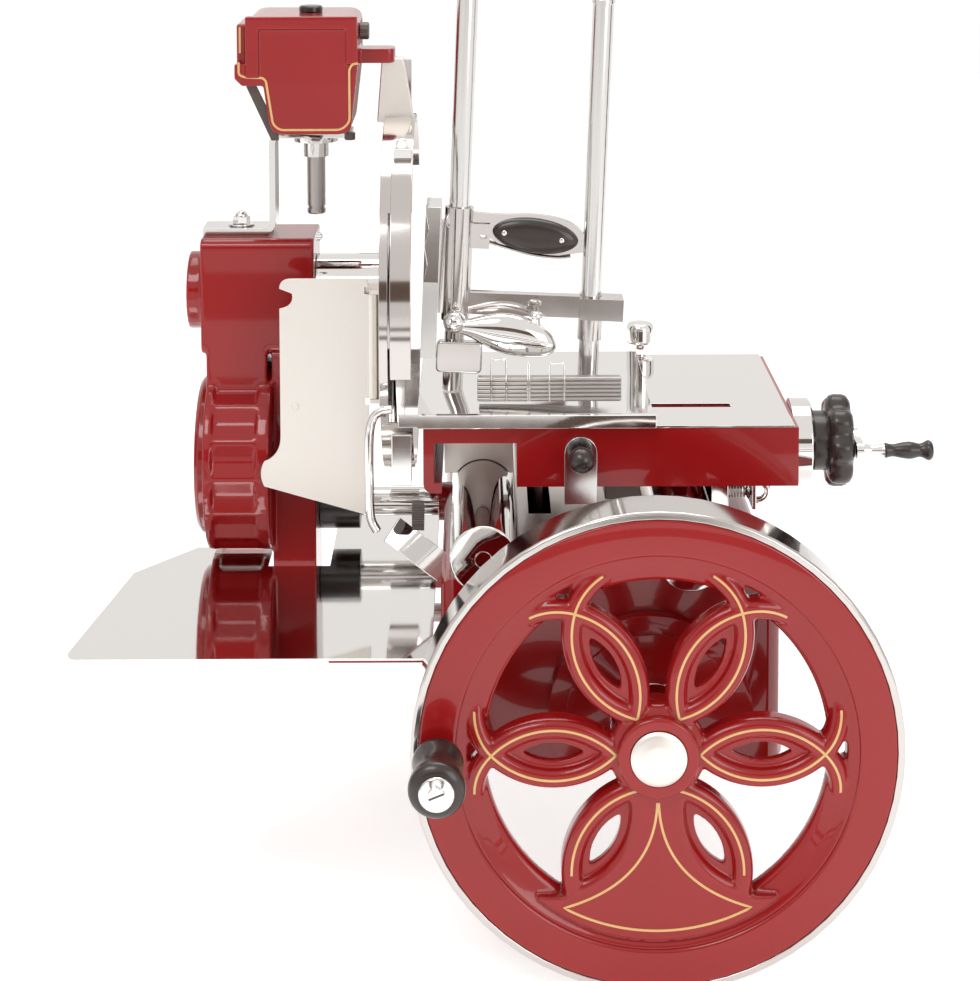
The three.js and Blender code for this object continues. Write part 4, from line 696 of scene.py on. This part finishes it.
spun(relief, [(13, 20), (13, -1), (33, -1), (40, 3), (42, 7), (42, 20)], "y", steps=96)
petals = link("flywheel_petals", relief, "red_enamel", "flywheel", smooth=180, move=wheel_place)
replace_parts(cast(petals, 1.25, 7), "flywheel")

band = bmesh.new()
band_profile = [
    (wheel["band"], 30), (171.4, 4.5), (172.2, 1.6), (174.5, 0), (202.6, 0), (wheel["radius"], 1),
    (wheel["radius"], wheel["depth"]), (wheel["band"], wheel["depth"]),
]
spun(band, eased(band_profile, 2.0), "y", steps=192)
hub_profile = [
    (12.4, 50), (12.4, -6), (24.5, -6), (24.5, -8), (33, -8), (35, -6.2), (35.5, 4), (38, 12), (35, 50),
]
spun(band, eased(hub_profile, 1.6), "y")
wheel_band = link("flywheel_band", band, "red_enamel", "flywheel", smooth=40, move=wheel_place)
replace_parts(wheel_band, "flywheel")

cap = bmesh.new()
spun(cap, eased([(0, -13.2), (12, -12.8), (21, -10.6), (24, -8.6), (24, -8.2), (0, -8.2)], 2.2, 6), "y")
cap_piece = link("hub_cap_turned", cap, "satin_steel", "flywheel", move=wheel_place, slot="chrome")
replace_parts(cap_piece, "hub_cap")
print("flywheel with", len(angles), "petals")


# %% [markdown]
# The gold lines are painted on the crests by hand. A painted mask would need a map of the wheel.
# A thin ribbon, a little proud of the enamel, keeps a crisp edge from near and far.

# %% Gold lines
stripe = [(-1.05, 0.9), (-1.05, -0.35), (-0.5, -0.55), (0.5, -0.55), (1.05, -0.35), (1.05, 0.9)]
lines = bmesh.new()
for angle in angles:
    for side in (1, -1):
        if lower_petals.get(angle) != side:
            whole = petal_line(side, angle, True, 60)
            end = 130 if angle in lower_petals else 160.4
            swept(lines, [p for p in whole if math.hypot(p[0], p[1]) < end], stripe)


def flank(side):
    """One side of the fan, from its point below the hub to its lower corner."""
    apex, bend, corner = [Vector((u * side, v)) for u, v in ((0.6, -42), (3, -112), (80, -134))]
    shares = [k / 30 for k in range(31)]
    curved = [apex * (1 - t) ** 2 + bend * 2 * t * (1 - t) + corner * t * t for t in shares]
    return [(p.x, p.y) for p in curved]


fan_line = flank(1) + arc(167, 298.6, 241.4, 40, (0, 12.6))[1:-1] + flank(-1)[::-1]
swept(lines, [(u, v, 0.6) for u, v in fan_line], stripe, closed=True)
link("flywheel_gold", lines, "gold_paint", "flywheel", move=wheel_place)

box_front = -50.6
box_line = [
    (-346, 604), (-346, 592), (-340, 589.6), (-323, 589), (-320, 586), (-313.6, 544), (-307, 538.6),
    (-248, 538.6), (-240, 546), (-240, 597), (-237, 602.5), (-231.5, 603),
]


def lifted(u, v):
    """Near its right end the line climbs onto the raised border of the box."""
    rise = min(1, max(0, (v - 590) / 9)) if u > -300 else 0
    return u, v, 0.4 - 2.9 * rise


trim = bmesh.new()
swept(trim, [lifted(u, v) for u, v in eased(box_line, 6, 5)], stripe)
swept(trim, [(-345.5, 612, 9.6), (-345.5, 637, 9.6)], stripe)
link("sharpener_gold", trim, "gold_paint", "sharpener", move=(0, box_front, 0))
print("gold lines on the wheel and the sharpener")


# %% [markdown]
# ## Handles and knobs
# The black pieces are turned on a lathe or moulded, so most are one profile spun round. A bevel
# would round all corners alike. Easing the profile before it is spun lets long curves stay long.
# The lobed knob is no turned form: its rings dip between the lobes. The crank grip's steel
# spindle is made here too. The slot across its screw head is no cut: a thin dark bar on the
# flat head is painted shade for it.

# %% Black handles
crank_x = -187
grip = bmesh.new()
grip_profile = [
    (7, -74), (17, -74), (24, -69), (24, -58), (19, -49), (16.3, -40), (17, -31), (20, -22), (22, -16),
    (21, -10), (7, -10),
]
spun(grip, eased(grip_profile, 6, 6), "y", (crank_x, 0))
grip_piece = link("crank_grip_turned", grip, "black_plastic", "crank_grip", move=wheel_place)
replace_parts(grip_piece, "crank_grip")

spindle = bmesh.new()
spindle_profile = [
    (0, -79.6), (7.2, -79.6), (7.4, -77.8), (14, -77.4), (15, -76), (15, -74.5), (6.4, -74.5),
    (6.4, -9.5), (12, -9.5), (12, -0.3), (6.4, -0.3), (6.4, 9), (0, 9),
]
spun(spindle, eased(spindle_profile, 0.5, 3), "y", (crank_x, 0), 64)
spindle_piece = link("grip_spindle_turned", spindle, "chrome", "flywheel", move=wheel_place)
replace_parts(spindle_piece, "grip_spindle")
# The screw slot is a thin dark bar laid on the head: painted shade in place of a cut.
slot_shade_mesh = bmesh.new()
slot_shade_bar = brick(slot_shade_mesh, (-0.8, 0.8), (-79.9, -79.4), (-6.8, 6.8))
bmesh.ops.rotate(slot_shade_mesh, matrix=Matrix.Rotation(math.radians(68), 3, "Y"), verts=slot_shade_bar)
bmesh.ops.translate(slot_shade_mesh, vec=(crank_x, 0, 0), verts=slot_shade_bar)
link("grip_screw_slot_shade", slot_shade_mesh, "dark_iron", "flywheel", move=wheel_place)

screw = {"y": -95, "z": 246, "hub": 199.0}
lobed = bmesh.new()
lobes, sides = 8, 128
rows = []
knob_radius, lobe_dip = 44, 5.5
knob_profile = [
    (0, 13), (0.7, 13), (0.88, 14), (0.97, 17), (1, 21), (1, 29), (0.97, 33), (0.88, 36), (0.6, 37),
    (0.36, 35.5), (0, 35.5),
]
for share, along in knob_profile:
    ring = []
    for k in range(sides):
        turn = 2 * math.pi * k / sides
        dip = lobe_dip * (0.5 - 0.5 * math.cos(lobes * turn)) ** 1.6 * (1 if share > 0.8 else share)
        reach = max(share * knob_radius - dip, 0.01)
        y, z = screw["y"] + reach * math.cos(turn), screw["z"] + reach * math.sin(turn)
        ring.append(lobed.verts.new((screw["hub"] + along, y, z)))
    rows.append(ring)
for low, high in zip(rows, rows[1:]):
    for k in range(sides):
        lobed.faces.new([low[k], low[(k + 1) % sides], high[(k + 1) % sides], high[k]])
bmesh.ops.remove_doubles(lobed, verts=lobed.verts, dist=0.05)
disc = eased([(0, 0), (26.5, 0), (28, 1), (28, 15), (0, 15)], 1, 3)
spun(lobed, [(r, screw["hub"] + h) for r, h in disc], "x", (screw["y"], screw["z"]))
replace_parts(link("index_knob_moulded", lobed, "black_plastic", "index_knob"), "index_knob")

arm_x = screw["hub"] + 13.5 + 24 + 0.5
pear = bmesh.new()
neck = arm_x + 26.3
pear_profile = [
    (3.8, 0), (7.4, 0), (6.2, 4), (5.6, 8), (7.4, 16), (8.4, 24), (6.0, 33), (7.6, 37), (10, 41),
    (7.4, 45), (0, 45.6),
]
arm_length = 35
pear_centre = (screw["y"] - arm_length, screw["z"])
spun(pear, [(r, neck + h) for r, h in eased(pear_profile, 5, 6)], "x", pear_centre, 48)
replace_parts(link("crank_handle_turned", pear, "black_plastic", "crank_handle"), "crank_handle")

ball = bmesh.new()
stem = [(7, -5), (7, -0.6), (4, -0.6), (4, 9), (0, 9)]
spun(ball, ball_profile(12, -90, 61, 6, -17.4) + stem, "y", (0, 0), 64)
strap_place = (-23, -169.2, 254)
strap_piece = link("strap_knob_turned", ball, "black_plastic", "strap_knob", move=strap_place)
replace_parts(strap_piece, "strap_knob")
print("four black handles and the grip's spindle")


# %% [markdown]
# ## Food press
# The lever's leaf-shaped tang is polished steel between two dark scales, held by two rivets.
# The spoon-shaped handle swells from a ball and droops at its end. Both could be sculpted, but a
# few sections along the middle line are enough, and are easy to move when the shape is off. The
# spiked bar is a block with round ribs along its face.

# %% Press handles and spiked bar
leaf = {"place": (-61.8, -55, 436.6), "half": 41.6, "high": 17, "sharp": 1.06, "tilt": math.radians(8)}


def leaf_outline(steps=56):
    points = []
    for k in range(steps):
        t = 2 * math.pi * k / steps
        rise = math.copysign(abs(math.sin(t)) ** leaf["sharp"], math.sin(t))
        points.append((leaf["half"] * math.cos(t), leaf["high"] * rise))
    return points


scales = bmesh.new()
for face in (1, -1):
    base_ring = leaf_outline()
    rows = [(1.0, 1.2), (1.0, 4.5), (0.96, 7.0), (0.86, 9.0), (0.66, 10.3), (0.36, 10.9), (0.02, 11.0)]
    rings = []
    for share, out in rows:
        rings.append([scales.verts.new((u * share, face * out, v * share)) for u, v in base_ring])
    for low, high in zip(rings, rings[1:]):
        for k in range(len(base_ring)):
            j = (k + 1) % len(base_ring)
            scales.faces.new([low[k], low[j], high[j], high[k]])
    scales.faces.new(rings[0])
    scales.faces.new(rings[-1][::-1])
bmesh.ops.rotate(scales, matrix=Matrix.Rotation(leaf["tilt"], 3, "Y"), verts=scales.verts)
scales_piece = link("lever_scales", scales, "black_plastic", "press_lever", move=leaf["place"])
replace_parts(scales_piece, "lever_grip")

tang = bmesh.new()
crest = [(-127, 461), (-114, 459), (-92, 457.4), (-61, 457.2), (-35, 452.4), (-19, 443), (-9, 427)]
belly = [(-14, 420.5), (-35, 417.6), (-54, 415.4), (-76, 419.4), (-95, 427.4), (-108, 436), (-127, 441)]
tang_line = [p for side in (crest, belly) for p in curve([Vector(q) for q in side], 6)]
pushed(tang, [tuple(p) for p in tang_line], "y", -58.2, -51.8)
finger = [(-127, 434), (-108, 430.6), (-82, 423), (-60, 417.6), (-40, 415.6), (-28, 416.4)]
tube(tang, curve([Vector((x, -55, z)) for x, z in finger], 6), 2.0, 14, 3.2)
knuckle = [(0, -66), (10, -66), (11.5, -64), (11.5, -46), (10, -44), (0, -44)]
spun(tang, eased(knuckle, 1.5, 3), "y", (-137.6, 452), 40)
# The tang takes the darker chrome, whose tint is painted shade.
tang_piece = bevelled(link("lever_tang", tang, "rim_chrome", "press_lever", slot="chrome"), 1.4, 3)
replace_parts(tang_piece, "press_lever")
rivets = bmesh.new()
rivet = [(0, -66.6), (2.2, -66.2), (2.8, -65.2), (2.8, -44.8), (0, -43.6)]
for x, z in ((-91.8, 440.6), (-36.8, 433.1)):
    spun(rivets, eased(rivet, 0.6, 3), "y", (x, z), 24)
link("lever_rivets", rivets, "chrome", "press_lever")


def swollen(shape, stations, depth_y, sides=40, steps=8):
    """A smooth body through stations of (x, z, half height, half depth)."""
    rings = []
    turns = [2 * math.pi * k / sides for k in range(sides)]
    for x, z, high, deep in curve([Vector(s) for s in stations], steps):
        spots = [(x, depth_y + deep * math.cos(t), z + high * math.sin(t)) for t in turns]
        rings.append([shape.verts.new(spot) for spot in spots])
    for low, high in zip(rings, rings[1:]):
        for k in range(sides):
            j = (k + 1) % sides
            shape.faces.new([low[k], low[j], high[j], high[k]])
    shape.faces.new(rings[0])
    shape.faces.new(rings[-1][::-1])


spoon_y = -88
spoon = bmesh.new()
swollen(spoon, [
    (-138, 355.5, 6, 5), (-130, 354.5, 7.5, 6), (-120, 353.2, 11, 8), (-108, 351, 16, 10),
    (-95, 349, 19.4, 11.5), (-81, 346.8, 20.2, 12), (-67, 343.6, 18.4, 11), (-55, 340.4, 14.6, 9),
    (-47.5, 338, 9.4, 6), (-43.4, 336.4, 2.6, 2), (-42.8, 336.2, 0.3, 0.3),
], spoon_y)
spun(spoon, ball_profile(11, -90, 91, 6, spoon_y), "y", (-139.5, 360), 48)
spoon_screw = [(0, 356), (4, 356), (4, 363.4), (6.6, 364), (6.6, 367.2), (4, 369.8), (0, 370.2)]
spun(spoon, eased(spoon_screw, 1, 3), "z", (-62.3, spoon_y), 32)
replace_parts(link("spoon_turned", spoon, "chrome", "spoon_handle", smooth=60), "spoon_handle")

spikes = bmesh.new()
bar_low, bar_front, rib_radius, ribs = 288.2, -106.4, 1.9, 6
brick(spikes, (-117, 17), (bar_front, -99), (bar_low - 0.6, bar_low + 2 * rib_radius * ribs))
rib_profile = [(0, -118), (rib_radius, -118), (rib_radius, 18), (0, 18)]
for k in range(ribs):
    z = bar_low + rib_radius * (2 * k + 1)
    spun(spikes, eased(rib_profile, 0.7, 3), "x", (bar_front, z), 20)
bar_piece = link("spiked_bar", spikes, "steel", "table", slot="dark_iron")
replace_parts(bar_piece, "fork_bar")
wires = bmesh.new()
wire_y, wire_foot, wire_radius = -111, 289, 0.85
for x, wide, rise in ((-97.8, 14, 329), (-69.6, 1.8, 325), (-43, 14, 325)):
    left, right = x - wide / 2, x + wide / 2
    loop = [(left, wire_foot), (left, rise - 3), (left + wide / 5, rise),
            (right - wide / 5, rise), (right, rise - 3), (right, wire_foot)]
    tube(wires, curve([Vector((u, wire_y, v)) for u, v in loop], 5), wire_radius, 10)
link("bar_wires", wires, "chrome", "table")
print("press handles and the spiked bar")


# %% [markdown]
# ## Fittings
# Nuts, screws and brackets are small, but a machine without them looks like a toy. Each is a
# box, a hexagon, a tube or a turned form with its edges taken off, because at this size the
# glint on an edge tells more than the shape does.

# %% Nuts, screws and brackets
def hexagon(across, centre=(0, 0), turn=0):
    return [(centre[0] + u, centre[1] + v) for u, v in arc(across / math.sqrt(3), turn, turn + 300, 5)]


nuts = bmesh.new()
foot_z = 437.6
stud = (-350, 0)
washer_top, nut_top = foot_z + 1.6, foot_z + 8.5
washer = [(0, foot_z), (13, foot_z), (13, washer_top), (0, washer_top)]
spun(nuts, eased(washer, 0.4, 2), "z", stud, 40)
pushed(nuts, hexagon(15, stud, 12), "z", washer_top, nut_top)
turns = [math.radians(a) for a in range(0, 91, 10)]
dome = [(6.6 * math.cos(t), nut_top + 5.5 * math.sin(t)) for t in turns]
spun(nuts, [(6.6, nut_top)] + dome, "z", stud, 32)
spun(nuts, eased([(0, -49), (3.6, -49), (4, -48), (4, -44), (0, -44)], 0.8, 3), "y", (-271, 434.4), 24)
bevelled(link("bracket_nut", nuts, "chrome", "machine"), 0.5)

dark_bits = bmesh.new()
brick(dark_bits, (-211, -190), (-8, 8), (589.5, 598.6))
pushed(dark_bits, hexagon(9.5, (-241, -30)), "z", 526, 533.5)
bevelled(link("sharpener_stop", dark_bits, "dark_iron", "sharpener"), 0.8)
side_plate = bmesh.new()
plate_outline = [(-341, 582), (-331, 582), (-309, 536), (-309, 527), (-316, 527)]
pushed(side_plate, plate_outline, "y", -42, -38)
bevelled(link("sharpener_side_plate", side_plate, "dark_iron", "sharpener"), 0.6)
flange = bmesh.new()
brick(flange, (-349, -339), (-40, 44), (600, 640))
bevelled(link("sharpener_flange", flange, "red_enamel", "sharpener"), 3.0, 4)

rear_knob = bmesh.new()
rear_profile = [
    (0, 281.2), (6, 281.2), (6, 288), (13.5, 288), (14.6, 291), (14.6, 305), (12, 309.5), (0, 310.3),
]
spun(rear_knob, eased(rear_profile, 2.6, 5), "z", (52, 124), 48)
link("rear_knob", rear_knob, "chrome", "table")

guard_bits = bmesh.new()
hook = [(-196, 300), (-206, 298), (-214, 290), (-217, 270), (-217, 230), (-216, 200), (-210, 186)]
tube(guard_bits, curve([Vector((x, -178, z)) for x, z in hook], 8), 4.2, 16)
brick(guard_bits, (-197, -178), (-174.5, -172), (227, 275))
bevelled(link("guard_fittings", guard_bits, "chrome", "machine"), 1.2, 3)
fin_left = [(-210.5, 603), (-212, 585), (-214, 560), (-215.5, 540)]
fin_right = [(-179, 536), (-182, 560), (-186, 585), (-189.6, 603)]
fin = [tuple(p) for side in (fin_left, fin_right) for p in curve([Vector(q) for q in side], 5)]
tab = bmesh.new()
pushed(tab, fin, "y", -9, 9)
bevelled(link("guard_tab", tab, "satin_steel", "machine", slot="chrome"), 1.2, 3)

blade_z = 373
cover = bmesh.new()
rim_turns = [math.radians(a) for a in range(-62, 17, 2)]
inner_line, outer_line = [
    [(-radius * math.cos(t), blade_z - radius * math.sin(t)) for t in rim_turns]
    for radius in (174.2, 176.4)
]
pushed(cover, inner_line + outer_line[::-1], "x", -198, -178.4)
# The edge cover takes the darker chrome, whose tint is painted shade.
bevelled(link("blade_edge_cover", cover, "rim_chrome", "machine", slot="chrome"), 0.8, 3)
clip = bmesh.new()
brick(clip, (-196, -179), (-104, -92), (519, 528))
spun(clip, ring_profile(5, 1.3, -98, 12), "y", (-188, 531), 32)
bevelled(link("blade_cover_clip", clip, "chrome", "machine"), 1.0, 3)

knurled = bmesh.new()
tooth_count, tooth_low, tooth_high, knob_y, knob_z = 72, 12.4, 13.4, -176, 200
teeth = []
for k in range(tooth_count):
    turn, reach = 2 * math.pi * k / tooth_count, tooth_high if k % 2 else tooth_low
    teeth.append((knob_y + reach * math.cos(turn), knob_z + reach * math.sin(turn)))
pushed(knurled, teeth, "x", -178, -167)
bevelled(link("guard_knob", knurled, "dark_iron", "machine", smooth=25), 0.3)

link_bar = bmesh.new()
slab = brick(link_bar, (-31, 31), (-13, 13), (-1.6, 1.6))
for degrees, about in ((62, "X"), (38, "Y")):
    bmesh.ops.rotate(link_bar, matrix=Matrix.Rotation(math.radians(degrees), 3, about), verts=slab)
bevelled(link("guard_link", link_bar, "chrome", "machine", move=(-173, -160, 163)), 0.5)

under = bmesh.new()
brick(under, (99, 115), (-150, -60), (196, 222.6))
brick(under, (137, 141), (-150, -100), (196, 222.6))
bevelled(link("slide_bracket", under, "chrome", "carriage"), 1.0)
eye = bmesh.new()
spun(eye, ring_profile(9, 3.2, -120, 16), "y", (146, 205), 40)
link("slide_eye", eye, "chrome", "carriage")
coil = bmesh.new()
coils, per_coil, coil_radius, coil_length = 6, 20, 6, 17
helix = []
for k in range(coils * per_coil + 1):
    turn, along = 2 * math.pi * k / per_coil, coil_length * k / (coils * per_coil)
    y, z = -120 + coil_radius * math.cos(turn), 206 + coil_radius * math.sin(turn)
    helix.append(Vector((117 + along, y, z)))
tube(coil, helix, 1.0, 8, upright=Vector((1, 0.01, 0)))
link("slide_spring", coil, "steel", "carriage")
blocks = bmesh.new()
brick(blocks, (0, 33), (-150, -60), (206, 222.4))
bevelled(link("slide_block", blocks, "dark_iron", "carriage"), 1.5)

marks = bmesh.new()
mark_profile = [(0, -99.2), (3, -99.2), (3.4, -98.6), (3.4, -98), (0, -98)]
spun(marks, mark_profile, "y", (-290.8, 281), 24)
link("deflector_rivet", marks, "satin_steel", "deflector")
guide = bmesh.new()
guide_corners = [
    (-224.4, 300), (-224.4, 392), (-221, 398.5), (-213, 398.5), (-208.8, 392), (-208.8, 286),
    (-216, 286), (-224.4, 300),
]
pushed(guide, eased(guide_corners, 3, 3)[:-1], "y", -91.6, -89.8)
bevelled(link("deflector_guide", guide, "satin_steel", "machine"), 0.3)
print("fittings on")
